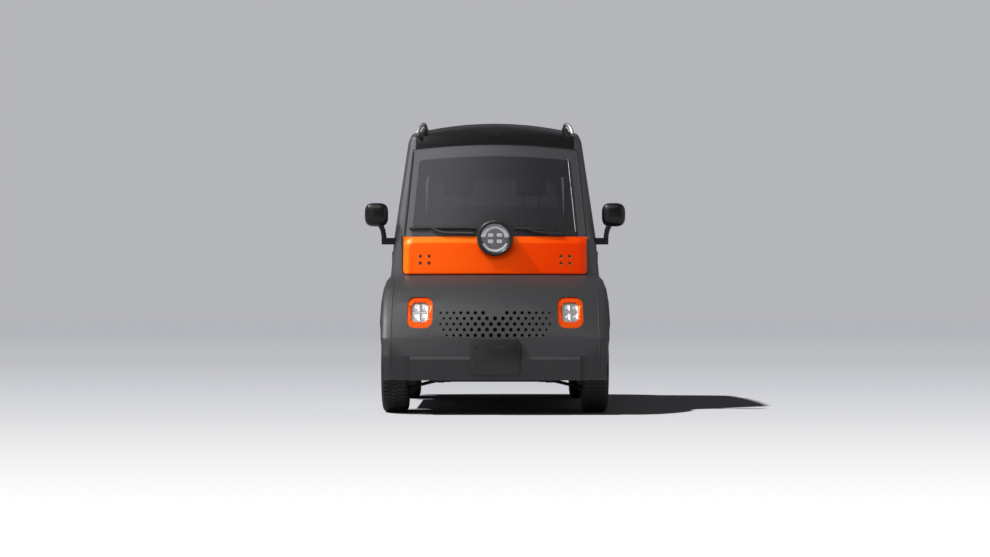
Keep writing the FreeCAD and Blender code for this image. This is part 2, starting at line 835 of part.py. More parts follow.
def grille_holes():
    """Five rows of holes that shrink and close up towards the outside, bare in the top middle."""
    holes = []
    for row, count in enumerate(GRILLE_ROW_COUNTS):
        z = s.grille_top_z - row * s.grille_pitch_z
        for index in range(count):
            share = (2 * index - count + 1) / (max(GRILLE_ROW_COUNTS) - 1)
            if row == 0 and abs(share) < GRILLE_BARE_SHARE:
                continue
            x = s.grille_half * share * (1 + GRILLE_CROWD_SHARE * (1 - abs(share)))
            radius = s.grille_hole_centre + (s.grille_hole_edge - s.grille_hole_centre) * abs(share)
            holes.append(hex_hole(x, z, radius))
    return holes


GRILLE_ROW_COUNTS = (16, 15, 16, 15, 14)
GRILLE_BARE_SHARE = 0.1
GRILLE_CROWD_SHARE = 0.12


def side_lamp_prism(width, height, corner):
    """A lamp opening's prism on the left side of the nose."""
    corners = frame_corners((s.side_lamp_x, s.side_lamp_z), width, height)
    return front_prism(corners, corner, front_edge, s.front_axle_y)


bezel_prism = side_lamp_prism(s.side_lamp_width, s.side_lamp_height, s.side_lamp_round)
lens_prism = side_lamp_prism(s.side_lens_width, s.side_lens_height, s.side_lens_round)
fascia_space = block((-s.fascia_half, s.fascia_half), (front_edge, 0), (-far, far))
ledge_front = s.nose_lip_front - s.bumper_ledge_depth
ledge_section = [(ledge_front, s.nose_lip_z), (ledge_front, s.bumper_ledge_z - s.bumper_ledge_chamfer),
                 (s.nose_foot_front, s.bumper_ledge_z), (s.front_axle_y, s.bumper_ledge_z),
                 (s.front_axle_y, s.nose_lip_z)]
ledge = side_prism(ledge_section, 0, -s.bumper_half, s.bumper_half).cut(nose_solid(s.skin))
fascia = nose_shell.common(fascia_space).fuse(ledge)
fascia = fascia.cut(both_sides(bezel_prism)).cut(Part.makeCompound(grille_holes()))
node(feature("front_fascia", fascia), "front_fascia")

fender_space = block((s.fascia_half, far), (front_edge, 0), (-far, far))
fender = nose_shell.common(fender_space).cut(front_wheel_space)
pair("front_fender", fender)

bezel_body = nose_solid(s.bezel_inset).common(bezel_prism)
lens_front, lens_back = nose_solid(s.lens_inset), nose_solid(s.lens_inset + s.lens_wall)
cavity_back = nose_solid(s.bezel_back - s.skin)
liner_space = Part.makeCylinder(s.liner_radius + s.liner_wall + s.fit_gap, far,
                                Vector(0, s.front_axle_y, s.tyre_radius), X)
bezel = bezel_body.cut(nose_solid(s.bezel_back)).cut(lens_prism.cut(cavity_back)).cut(liner_space)
side_lens = lens_front.cut(lens_back).common(lens_prism)
node(feature("side_lamp_bezels", both_sides(bezel)), "side_lamp_bezels")
node(feature("side_lamp_lenses", both_sides(side_lens)), "side_lamp_lenses")


def arch_liner():
    """Half a drum over the front wheel with its inner wall, slotted for the strut."""
    centre = Vector(s.liner_inner, s.front_axle_y, s.tyre_radius)
    length = s.liner_outer - s.liner_inner
    outer = Part.makeCylinder(s.liner_radius + s.liner_wall, length, centre, X)
    inner = Part.makeCylinder(s.liner_radius, length, centre + X * s.liner_wall, X)
    start = math.radians(s.liner_start)
    cut_z = s.tyre_radius + s.liner_radius * math.sin(start)
    top_half = block((0, far), (front_edge, 0), (cut_z, far))
    drum = outer.cut(inner).common(top_half)
    slot = Part.makeCylinder(s.strut_slot, far, strut_point(0), kingpin_direction)
    return drum.cut(slot).common(nose_solid(s.skin + s.fit_gap))


kingpin_lean = math.radians(s.kingpin_lean)
kingpin_direction = Vector(-math.sin(kingpin_lean), 0, math.cos(kingpin_lean))


def strut_point(run):
    """A point along the left kingpin line, from its lower ball joint."""
    return Vector(s.kingpin_x, s.front_axle_y, s.kingpin_z) + kingpin_direction * run


node(feature("arch_liners", both_sides(arch_liner())), "arch_liners")

# Central lamp

cup = Part.makeCylinder(s.headlamp_radius, s.headlamp_rear - s.headlamp_front, headlamp_axis, Y)
rim_edge = [edge for edge in cup.Edges if abs(edge.BoundBox.YMax - s.headlamp_front) < s.fit_gap
            and edge.BoundBox.YLength < s.fit_gap]
cup = cup.makeFillet(s.headlamp_round, rim_edge)
cup = cup.cut(Part.makeCylinder(s.headlamp_lens_radius, s.headlamp_cup_depth, headlamp_axis, Y))
node(feature("headlamp_body", cup), "headlamp_body")

lens_ball = (s.headlamp_lens_radius ** 2 + s.headlamp_lens_bulge ** 2) / (2 * s.headlamp_lens_bulge)
lens_seat = headlamp_axis + Y * s.headlamp_round
dome = Part.makeSphere(lens_ball, lens_seat + Y * (lens_ball - s.headlamp_lens_bulge))
dome_inside = Part.makeSphere(lens_ball - s.lens_wall, lens_seat + Y * (lens_ball - s.headlamp_lens_bulge))
lens_bore = Part.makeCylinder(s.headlamp_lens_radius, s.headlamp_round + s.lens_wall, headlamp_axis, Y)
node(feature("headlamp_lens", dome.cut(dome_inside).common(lens_bore)), "headlamp_lens")


def lamp_inside():
    """A dark disc on the cup's floor with four light modules on it."""
    floor_y = s.headlamp_front + s.headlamp_cup_depth
    disc = Part.makeCylinder(s.lamp_disc_radius, s.lamp_disc_wall, Vector(0, floor_y, s.headlamp_z), -Y)
    step_x = (s.lamp_module_width + s.lamp_module_gap_x) / 2
    step_z = (s.lamp_module_height + s.lamp_module_gap_z) / 2
    for x in (-step_x, step_x):
        for z in (-step_z, step_z):
            middle = (x, s.headlamp_z + z)
            corners = frame_corners(middle, s.lamp_module_width, s.lamp_module_height)
            disc = disc.fuse(front_prism(corners, 0, floor_y - s.lamp_module_depth, floor_y))
    return disc.removeSplitter()


node(feature("headlamp_modules", lamp_inside()), "headlamp_modules")

# Floor tub


def plate_path(points, thickness):
    """A folded plate's section: a line of (y, z) points thickened towards its left."""
    offset = []
    for index, point in enumerate(points):
        legs = []
        if index:
            legs.append((point - points[index - 1]).normalize())
        if index < len(points) - 1:
            legs.append((points[index + 1] - point).normalize())
        sides = [Vector(0, -leg.z, leg.y) for leg in legs]
        middle = sum(sides, Vector()).normalize()
        offset.append(point + middle * (thickness / middle.dot(sides[0])))
    return Part.Face(Part.makePolygon(points + offset[::-1] + points[:1]))


tub_points = [Vector(-far, y, z) for y, z in (
    (s.bulkhead_top_y + s.fit_gap, s.panel_foot), (s.bulkhead_y, s.bulkhead_knee_z),
    (s.bulkhead_y, s.floor_z), (s.tub_step_y, s.floor_z), (s.tub_step_y, s.load_floor_z),
    (s.tub_rear_y, s.load_floor_z), (s.tub_rear_y, s.tub_rear_z))]
cabin_room = cabin_solid(s.wall + s.fit_gap)
tub = plate_path(tub_points, s.floor_wall).extrude(X * 2 * far).common(cabin_room)
arch_centre = Vector(rear_arch_inner, s.rear_axle_y, s.tyre_radius)
arch_cover = Part.makeCylinder(s.rear_arch + s.skin, far, arch_centre - X * s.skin, X).common(cabin_room)
arch_hollow = Part.makeCylinder(s.rear_arch, far, arch_centre, X)
arch_space = Part.makeCylinder(s.rear_arch + s.skin + s.fit_gap, far, arch_centre - X * (s.skin + s.fit_gap), X)
above_sill = block((-far, far), (-far, 2 * far), (s.floor_z, far))
foot_box_outer = block((-s.foot_box_half, s.foot_box_half), (s.foot_box_front, s.bulkhead_y + s.floor_wall),
                       (s.floor_z, s.foot_box_top))
foot_box_inner = block((s.floor_wall - s.foot_box_half, s.foot_box_half - s.floor_wall),
                       (s.foot_box_front + s.floor_wall, s.bulkhead_y + 2 * s.floor_wall),
                       (s.floor_z + s.floor_wall, s.foot_box_top - s.floor_wall))
foot_box = foot_box_outer.common(nose_solid(s.skin + s.fit_gap)).cut(foot_box_inner).cut(tub)
node(feature("footwell_box", foot_box.removeSplitter()), "footwell_box")
axle_slot = block((-far, far), (s.rear_axle_y - s.overrun, s.rear_axle_y + s.overrun),
                  (-far, s.tyre_radius + s.overrun))
tub = tub.cut(foot_box_inner).cut(both_sides(arch_space))
node(feature("floor_tub", tub.removeSplitter()), "floor_tub")
arch_cover = arch_cover.common(above_sill).cut(axle_slot).cut(arch_hollow)
node(feature("rear_arch_covers", both_sides(arch_cover)), "rear_arch_covers")

# Frame and running gear

rail_run, rail_rise = ("rail_front", "rail_rear"), ("rail_foot", "rail_top")
rails = [box("rail_left", ("rail_inner", "rail_outer"), rail_run, rail_rise),
         box("rail_right", ("-rail_outer", "-rail_inner"), rail_run, rail_rise)]
for index, middle in enumerate(("nose_cross_front", "seat_cross_front", "seat_cross_rear",
                                "trailing_front - cross_depth", "rail_rear - cross_depth")):
    rails.append(box("cross_member_%d" % index, ("-rail_outer", "rail_outer"),
                     (middle, middle + " + cross_depth"), ("rail_foot", "rail_top")))
doc.recompute()
strut_top = strut_point(s.strut_length)
tower_y = (s.front_axle_y - s.tower_arm_half, s.front_axle_y + s.tower_arm_half)
strut_tower = block((s.tower_arm_inner, s.rail_outer), tower_y, (s.rail_foot, strut_top.z))
tower_head = Part.makeCylinder(s.tower_plate_half, s.tower_plate_wall, strut_top + kingpin_direction * s.fit_gap,
                               kingpin_direction)
tower_arm = block((s.tower_arm_inner, strut_top.x), tower_y, (strut_top.z, strut_top.z + s.cross_depth / 2))
clear_strut = Part.makeCylinder(s.strut_slot, far, strut_top + kingpin_direction * s.fit_gap, -kingpin_direction)
left_tower = strut_tower.fuse(tower_arm.cut(clear_strut)).fuse(tower_head).cut(clear_strut)
towers = feature("strut_towers", both_sides(left_tower))
frame = combine("MultiFuse", "chassis_frame", *rails, towers)
node(frame, "chassis_frame")

battery = box("battery_pack", ("-battery_half", "battery_half"), ("battery_front", "battery_rear"),
              ("battery_foot", "battery_top"))
node(battery, "battery_pack")
drive = box("drive_unit", ("-drive_half", "drive_half"), ("drive_front", "drive_rear"),
            ("drive_foot", "drive_top"))
node(drive, "drive_unit")


def rear_axle_side():
    """One half of the rear axle: tube, stub, trailing arm and spring."""
    centre = Vector(s.drive_half + s.axle_rail_gap, s.rear_axle_y, s.tyre_radius)
    tube = Part.makeCylinder(s.axle_tube_radius, s.axle_tube_outer - centre.x, centre, X)
    stub_end = s.half_track + s.disc_face + s.stub_reach
    stub = Part.makeCylinder(s.stub_radius, stub_end - s.axle_tube_outer,
                             Vector(s.axle_tube_outer, centre.y, centre.z), X)
    arm = block((s.trailing_inner, s.trailing_outer), (s.trailing_front, s.rear_axle_y),
                (s.trailing_foot, s.trailing_top))
    spring = Part.makeCylinder(s.spring_radius, s.spring_top - s.tyre_radius,
                               Vector(s.spring_x, centre.y, centre.z))
    return tube.fuse([stub, arm, spring])


node(feature("rear_axle", both_sides(rear_axle_side())), "rear_axle")


def knuckle():
    """The left upright with its foot, stub axle and strut."""
    y = (s.front_axle_y - s.upright_half, s.front_axle_y + s.upright_half)
    upright = block((s.upright_inner, s.upright_outer), y, (s.upright_foot, s.upright_top))
    foot_top = s.upright_foot + s.upright_foot_wall
    foot = block((s.upright_inner, s.kingpin_x + s.ball_radius), (y[0] + s.ball_radius, y[1] - s.ball_radius),
                 (s.upright_foot, foot_top))
    ball = Part.makeSphere(s.ball_radius, strut_point(0))
    neck = Part.makeCylinder(s.ball_neck_radius, foot_top - s.kingpin_z, strut_point(0))
    stub_end = s.half_track + s.disc_face + s.stub_reach
    stub = Part.makeCylinder(s.stub_radius, stub_end - s.upright_outer,
                             Vector(s.upright_outer, s.front_axle_y, s.tyre_radius), X)
    strut = Part.makeCylinder(s.strut_radius, s.strut_length - s.strut_start, strut_point(s.strut_start),
                              kingpin_direction)
    return upright.fuse([foot, ball, neck, stub, strut])


pair("knuckle", knuckle())


def lower_arm():
    """The left lower arm: two legs from the rail that meet in a cup round the ball joint."""
    tip = Vector(s.kingpin_x, s.front_axle_y, s.arm_tip_z)
    legs = []
    for side in (-1, 1):
        root = Vector(s.arm_inner_x, s.front_axle_y + side * s.arm_spread, s.arm_z)
        legs.append(Part.makeCylinder(s.arm_radius, (tip - root).Length, root, tip - root))
    cup = Part.makeCylinder(s.ball_cup_radius, s.kingpin_z - s.ball_cup_foot,
                            Vector(s.kingpin_x, s.front_axle_y, s.ball_cup_foot))
    arm = legs[0].fuse([legs[1], cup]).cut(Part.makeSphere(s.ball_radius + s.ball_play, strut_point(0)))
    return arm.common(block((s.arm_inner_x, far), (front_edge, 0), (-far, far)))


node(feature("front_arms", both_sides(lower_arm())), "front_arms")


def wheel_body(label, kind, x, y, outward):
    """A body for a wheel's piece, whose own X axis points out of the car."""
    body = doc.addObject("PartDesign::Body", label + "_" + kind)
    place = Placement(Vector(), Rotation(Z, 0 if outward > 0 else 180))
    body.Placement = place
    put(body, x, y, "tyre_radius")
    return body


def revolved(body, corners):
    """Turn an outline of (axial, radial) expressions about the wheel's axis."""
    sketch = sketch_on(body, "XZ_Plane", body.Name + "_profile")
    closed_profile(sketch, corners)
    turn = body.newObject("PartDesign::Revolution", body.Name + "_turn")
    turn.Profile = sketch
    turn.ReferenceAxis = (sketch, ["H_Axis"])
    turn.Angle = 360
    doc.recompute()
    return turn


TYRE_PROFILE = [
    ("-bead_half", "bead_radius"), ("bead_half", "bead_radius"), ("tyre_width / 2", "sidewall_bulge_radius"),
    ("tread_half", "tyre_radius"), ("-tread_half", "tyre_radius"), ("-tyre_width / 2", "sidewall_bulge_radius"),
]
RIM_PROFILE = [
    ("-brake_face", "hub_bore"), ("disc_face", "hub_bore"), ("disc_face", "hub_radius + disc_wall"),
    ("disc_face + disc_wall", "hub_radius + 2 * disc_wall"), ("disc_face", "bead_radius - rim_wall"),
    ("bead_half", "bead_radius - rim_wall"), ("bead_half", "bead_radius"), ("-bead_half", "bead_radius"),
    ("-bead_half", "bead_radius - rim_wall"), ("disc_face - disc_wall", "bead_radius - rim_wall"),
    ("disc_face", "hub_radius + 2 * disc_wall"), ("disc_face - disc_wall", "hub_radius"),
    ("brake_wall - brake_face", "hub_radius"), ("brake_wall - brake_face", "brake_radius"),
    ("-brake_face", "brake_radius"),
]


def holed(body, turn, circle, radius, count):
    """Cut a ring of round holes through the wheel's disc."""
    sketch = sketch_on(body, "YZ_Plane", body.Name + "_" + circle)
    doc.recompute()
    number = sketch.addGeometry(Part.Circle(Vector(0, evaluate(circle), 0), Z, evaluate(radius)), False)
    size = sketch.addConstraint(constraint("Radius", number, evaluate(radius)))
    sketch.setExpression("Constraints[%d]" % size, tied(radius))
    sketch.addConstraint(constraint("PointOnObject", number, 3, -2))
    height = sketch.addConstraint(constraint("DistanceY", -1, 1, number, 3, evaluate(circle)))
    sketch.setExpression("Constraints[%d]" % height, tied(circle))
    pocket = body.newObject("PartDesign::Pocket", body.Name + "_cut_" + circle)
    pocket.Profile = sketch
    pocket.Type = "ThroughAll"
    pocket.Reversed = True
    doc.recompute()
    axis = next(f for f in body.Origin.OriginFeatures if f.Role == "X_Axis")
    ring = body.newObject("PartDesign::PolarPattern", body.Name + "_ring_" + circle)
    ring.Originals = [pocket]
    ring.Axis = (axis, [""])
    ring.Angle = 360
    ring.Occurrences = int(evaluate(count))
    body.Tip = ring
    doc.recompute()
    if not pocket.Shape.Volume < turn.Shape.Volume:
        raise RuntimeError(body.Name + ": the holes cut nothing")
    return ring


for end, axle_y in (("front", "front_axle_y"), ("rear", "rear_axle_y")):
    for side, x, outward in (("left", "half_track", 1), ("right", "-half_track", -1)):
        tyre = wheel_body("tyre", end + "_" + side, x, axle_y, outward)
        revolved(tyre, TYRE_PROFILE)
        node(tyre, "tyre_%s_%s" % (end, side))
        rim = wheel_body("rim", end + "_" + side, x, axle_y, outward)
        turn = revolved(rim, RIM_PROFILE)
        ring = holed(rim, turn, "wheel_hole_circle", "wheel_hole_radius", "wheel_hole_count")
        node(rim, "rim_%s_%s" % (end, side))

# Cabin

dash_profile = [(front_edge, s.dash_foot), (s.dash_rear, s.dash_foot), (s.dash_rear, s.dash_top),
                (front_edge, s.dash_top)]
dash = side_prism(dash_profile, [0, s.dash_round, s.dash_round, 0], -far, far)
dash = dash.common(cabin_room).cut(tub)
door_side = block((-far, far), (s.door_front - s.door_gap, far), (-far, 2 * far))
door_sweep = Part.makeCylinder(s.dash_hinge_clearance, far, Vector(s.door_hinge_x, s.door_hinge_y, 0))
dash = dash.cut(door_side.cut(cabin_solid(s.wall + s.dash_door_gap))).cut(both_sides(door_sweep))
dash_hood = Part.makeCylinder(s.headlamp_radius, s.dash_rear - s.headlamp_rear,
                              Vector(0, s.headlamp_rear + s.fit_gap, s.headlamp_z), Y)
dash = dash.cut(Part.makeCylinder(s.headlamp_radius + s.fit_gap, s.headlamp_rear - s.headlamp_front + s.fit_gap,
                                  headlamp_axis, Y)).fuse(dash_hood)
node(feature("dashboard", dash.removeSplitter()), "dashboard")

wheel_lean = math.radians(s.wheel_lean)
column_axis = Vector(0, math.cos(wheel_lean), math.sin(wheel_lean))
wheel_centre = Vector(s.wheel_x, s.wheel_y, s.wheel_z)
column_start = wheel_centre - column_axis * (s.wheel_hub_depth / 2 + s.column_gap)
column_length = (column_start.y - s.dash_rear) / math.cos(wheel_lean) + s.column_radius
column = Part.makeCylinder(s.column_radius, column_length, column_start, -column_axis).cut(dash)
node(feature("steering_column", column), "steering_column")


def steering_wheel():
    """A rim, a hub and three spokes, made flat and then leaned to the column."""
    turns = [math.pi * step / 4 for step in range(8)]
    section = [Vector(s.wheel_radius - s.wheel_grip + s.wheel_grip * math.cos(turn), 0, s.wheel_grip * math.sin(turn))
               for turn in turns]
    rim = Part.Face(Part.makePolygon(section + section[:1])).revolve(Vector(), Z, 360)
    hub = Part.makeCylinder(s.wheel_hub_radius, s.wheel_hub_depth, Vector(0, 0, -s.wheel_hub_depth / 2))
    reach = s.wheel_radius - s.wheel_grip
    spoke = Part.makeBox(reach, 2 * s.wheel_spoke_half, s.wheel_spoke_wall,
                         Vector(0, -s.wheel_spoke_half, -s.wheel_spoke_wall / 2))
    spokes = [spoke.copy() for turn in range(3)]
    for arm, turn in zip(spokes, (0, 180, 90)):
        arm.rotate(Vector(), Z, turn)
    wheel = rim.fuse([hub] + spokes)
    wheel.Placement = Placement(wheel_centre, Rotation(Z, column_axis))
    return wheel


node(feature("steering_wheel", steering_wheel()), "steering_wheel")


def soft_block(name, x, y, z, rounding):
    """A rounded block between sizes along each axis."""
    plain = box(name + "_block", x, y, z)
    doc.recompute()
    soft = doc.addObject("Part::Fillet", name)
    soft.Base = plain
    radius = evaluate(rounding)
    soft.Edges = [(number, radius, radius) for number in range(1, len(plain.Shape.Edges) + 1)]
    doc.recompute()
    return soft


seat_x = ("seat_x - seat_half", "seat_x + seat_half")
cushion = soft_block("seat_cushion", seat_x, ("seat_front", "seat_rear"), ("seat_foot + fit_gap", "seat_top"),
                     "seat_round")
node(feature("seat_cushions", both_sides(cushion.Shape)), "seat_cushions")


def leaned(shape):
    """Lean a piece made at the seat back's foot with it."""
    shape = shape.copy()
    shape.rotate(Vector(0, s.back_foot_y, s.back_foot_z), X, -s.back_lean)
    return shape


back_x = (s.seat_x - s.back_half, s.seat_x + s.back_half)
back_z = (s.back_foot_z, s.back_foot_z + s.back_length)
back = block(back_x, (s.back_foot_y, s.back_foot_y + s.back_thick), back_z)
back = leaned(back.makeFillet(s.seat_round, back.Edges))
node(feature("seat_backs", both_sides(back)), "seat_backs")

shell_y = s.back_foot_y + s.back_thick + s.fit_gap
shell = block(back_x, (shell_y, shell_y + s.back_shell), (s.back_foot_z - s.seat_round, back_z[1]))
seat_base = block((s.seat_x - s.seat_base_half, s.seat_x + s.seat_base_half), (s.seat_front + s.seat_round, shell_y
                  + s.back_shell), (s.floor_z + s.floor_wall, s.seat_foot))
link = block((s.seat_x - s.seat_base_half, s.seat_x + s.seat_base_half), (shell_y, shell_y + s.back_shell),
             (s.seat_foot - s.seat_round, s.back_foot_z - s.seat_round))
seat_frame = seat_base.fuse([link, leaned(shell)]).removeSplitter()
node(feature("seat_frames", both_sides(seat_frame)), "seat_frames")

headrest = block((s.seat_x - s.headrest_half, s.seat_x + s.headrest_half),
                 (s.headrest_y, s.headrest_y + s.headrest_thick),
                 (s.headrest_z - s.headrest_height / 2, s.headrest_z + s.headrest_height / 2))
headrest = headrest.makeFillet(s.headrest_round, headrest.Edges)
post_top = Vector(0, s.headrest_y + s.headrest_thick / 2,
                  s.headrest_z - s.headrest_height / 2 + s.headrest_round)
for side in (-1, 1):
    foot = Vector(s.seat_x + side * s.headrest_post_x, post_top.y, post_top.z - s.headrest_post_length)
    headrest = headrest.fuse(Part.makeCylinder(s.headrest_post_radius, s.headrest_post_length, foot))
headrest = headrest.cut(back).cut(leaned(shell))
node(feature("headrests", both_sides(headrest)), "headrests")

# Outside pieces

plate_corners = [(-s.plate_half, s.plate_foot), (s.plate_half, s.plate_foot),
                 (s.plate_half, s.plate_top), (-s.plate_half, s.plate_top)]
plate_back = s.nose_low_front + s.nose_low_bow / 2
plate = front_prism(plate_corners, [s.plate_corner / 2, s.plate_corner / 2, s.plate_corner, s.plate_corner],
                    ledge_front - s.plate_wall, plate_back).cut(nose_outer).cut(ledge)
for x in (-s.plate_screw_x, s.plate_screw_x):
    for z in (s.plate_screw_low, s.plate_screw_high):
        plate = plate.cut(Part.makeCylinder(s.plate_screw_radius, s.plate_wall,
                                            Vector(x, ledge_front - s.plate_wall, z), Y))
node(feature("plate_bracket", plate), "plate_bracket")


def mirror():
    """The left mirror: a rounded housing, a bent stalk and a bracket against the pillar."""
    front = s.mirror_y - s.mirror_depth / 2
    corners = frame_corners((s.mirror_x, s.mirror_z), s.mirror_width, s.mirror_height)
    housing = front_prism(corners, s.mirror_round, front, front + s.mirror_depth)
    nose_edges = [edge for edge in housing.Edges if edge.BoundBox.YMax < front + s.fit_gap]
    housing = housing.makeFillet(s.mirror_edge, nose_edges)
    foot = Vector(s.mirror_stalk_x, s.mirror_bracket_y, s.mirror_stalk_foot)
    stalk = Part.makeCylinder(s.mirror_stalk_radius, s.mirror_z - s.mirror_stalk_foot - s.mirror_edge, foot)
    bracket = block((s.cabin_belt_half - s.cabin_front_corner, s.mirror_bracket_outer),
                    (s.mirror_bracket_y - s.mirror_bracket_half, s.mirror_bracket_y + s.mirror_bracket_half),
                    (s.mirror_stalk_foot - s.mirror_bracket_half, s.mirror_stalk_foot + s.mirror_bracket_half))
    return housing.fuse([stalk, bracket]).cut(cabin_keepout)


node(feature("mirrors", both_sides(mirror())), "mirrors")


def door_handle():
    """The left door's pull: a bar that stands off the skin on two feet."""
    bar = block((s.cabin_belt_half - s.wall / 2, s.handle_outer), (s.handle_rear - s.handle_length, s.handle_rear),
                (s.handle_z - s.handle_height / 2, s.handle_z + s.handle_height / 2))
    outer_edges = [edge for edge in bar.Edges if edge.BoundBox.XMin > s.handle_outer - s.fit_gap]
    return bar.makeFillet(s.handle_edge, outer_edges).cut(cabin_keepout)


pair("door_handle", door_handle())


def roof_rail():
    """The left roof rail: a bar over the roof's edge on two feet."""
    inner, outer = s.roof_rail_x - s.roof_rail_half, s.roof_rail_x + s.roof_rail_half
    top, foot = s.roof_rail_top, s.roof_rail_top - s.roof_rail_height
    front, rear, run = s.roof_rail_front, s.roof_rail_rear, s.roof_rail_foot_run
    outline = [(front, foot - s.roof_rail_foot_run), (front + run / 2, top), (rear - run / 2, top),
               (rear, foot - s.roof_rail_foot_run), (rear - run, foot - s.roof_rail_foot_run),
               (rear - run, foot), (front + run, foot), (front + run, foot - s.roof_rail_foot_run)]
    bar = side_prism(outline, [0, run / 2, run / 2, 0, 0, run / 4, run / 4, 0], inner, outer)
    return bar.cut(cabin_keepout)


node(feature("roof_rails", both_sides(roof_rail())), "roof_rails")


def wiper(tip_x, end_x):
    """A blade along the screen's foot with its arm's pivot at one end."""
    half = s.wiper_height / 2
    blade = block((tip_x, end_x), (front_edge, 0), (s.wiper_z - half, s.wiper_z + half))
    pivot = Part.makeCylinder(s.wiper_pivot_radius, -front_edge, Vector(end_x, front_edge, s.wiper_pivot_z), Y)
    arm_z = (s.wiper_pivot_z - half, s.wiper_z + half)
    arm = block((end_x - s.wiper_height, end_x), (front_edge, 0), arm_z)
    layer = cabin_solid(s.glass_inset - s.fit_gap - s.wiper_depth).cut(cabin_solid(s.glass_inset - s.fit_gap))
    return blade.fuse([pivot, arm]).common(layer)


wipers = [wiper(s.wiper_left_tip_x, s.wiper_left_end_x), wiper(s.wiper_right_tip_x, s.wiper_right_end_x)]
node(feature("wipers", Part.makeCompound(wipers)), "wipers")

# Checks and files

doc.recompute()
for item in doc.Objects:
    if "Invalid" in item.State or "Error" in item.State:
        raise RuntimeError("%s did not build: %s" % (item.Name, item.State))
for item in NODES:
    if item.Shape.isNull() or not item.Shape.isValid() or not item.Shape.Solids:
        raise RuntimeError(item.Label + " has no valid solid")
os.makedirs("parts", exist_ok=True)
for item in NODES:
    item.Shape.exportStep("parts/%s.step" % item.Label)
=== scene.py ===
"""Looks of the microcar: finishes, glass, lamps, tread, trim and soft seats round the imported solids."""
import json
import math
import bmesh
import bpy
import numpy
from mathutils import Matrix, Vector
from mathutils.bvhtree import BVHTree


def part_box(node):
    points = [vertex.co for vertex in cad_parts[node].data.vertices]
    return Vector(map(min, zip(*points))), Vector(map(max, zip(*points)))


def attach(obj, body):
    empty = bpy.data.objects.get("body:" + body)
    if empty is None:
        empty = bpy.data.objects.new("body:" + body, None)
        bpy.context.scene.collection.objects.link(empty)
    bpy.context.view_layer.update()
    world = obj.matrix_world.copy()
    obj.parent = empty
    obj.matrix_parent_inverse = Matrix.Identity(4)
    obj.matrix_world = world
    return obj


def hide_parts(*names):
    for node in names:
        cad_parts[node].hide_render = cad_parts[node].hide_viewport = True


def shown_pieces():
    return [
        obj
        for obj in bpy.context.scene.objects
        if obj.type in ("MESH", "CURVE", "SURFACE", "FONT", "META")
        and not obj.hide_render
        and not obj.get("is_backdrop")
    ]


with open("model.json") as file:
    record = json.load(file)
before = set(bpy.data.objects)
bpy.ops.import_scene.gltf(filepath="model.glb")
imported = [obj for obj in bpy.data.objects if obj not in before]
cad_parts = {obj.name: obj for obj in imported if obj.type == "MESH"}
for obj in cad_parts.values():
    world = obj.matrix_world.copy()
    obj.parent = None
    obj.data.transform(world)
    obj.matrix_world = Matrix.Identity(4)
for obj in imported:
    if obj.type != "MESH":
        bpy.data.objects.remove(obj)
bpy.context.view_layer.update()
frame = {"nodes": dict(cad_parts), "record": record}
NODES = frame["nodes"]
RECORD = frame["record"]
BODY_OF = {node: body for body, nodes in RECORD["behaviour"]["bodies"].items() for node in nodes}
MM = 0.001


# Finishes

class Value:
    """A shader socket that takes part in sums."""

    def __init__(self, shader, socket):
        self.shader, self.socket = shader, socket

    def __add__(self, other):
        return self.shader.math("ADD", self, other)

    def __sub__(self, other):
        return self.shader.math("SUBTRACT", self, other)

    def __rsub__(self, other):
        return self.shader.math("SUBTRACT", other, self)

    def __mul__(self, other):
        return self.shader.math("MULTIPLY", self, other)

    __radd__, __rmul__ = __add__, __mul__


class Shader:
    """A node tree; every node comes with its settings, then its values and links."""

    def __init__(self, tree):
        self.tree = tree

    def set(self, node, values):
        for key, value in values.items():
            if isinstance(value, Value):
                self.tree.links.new(value.socket, node.inputs[key])
            else:
                node.inputs[key].default_value = value

    def add(self, kind, settings, values, output=0):
        node = self.tree.nodes.new(kind)
        for key, value in settings.items():
            if key == "stops":
                self.spread(node.color_ramp, value)
            else:
                setattr(node, key, value)
        self.set(node, values)
        return Value(self, node.outputs[output])

    def spread(self, ramp, stops):
        """Put a ramp's colours at their places from 0 to 1."""
        while len(ramp.elements) < len(stops):
            ramp.elements.new(0.5)
        for element, (place, colour) in zip(ramp.elements, stops):
            element.position, element.color = place, (*colour, 1)

    def math(self, operation, *values):
        return self.add("ShaderNodeMath", {"operation": operation}, dict(enumerate(values)))

    def place(self):
        return self.add("ShaderNodeTexCoord", {}, {}, "Object")

    def along(self, axis):
        return self.add("ShaderNodeSeparateXYZ", {}, {0: self.place()}, axis)

    def noise(self, scale, detail=2.0):
        return self.add("ShaderNodeTexNoise", {}, {"Vector": self.place(), "Scale": scale, "Detail": detail})


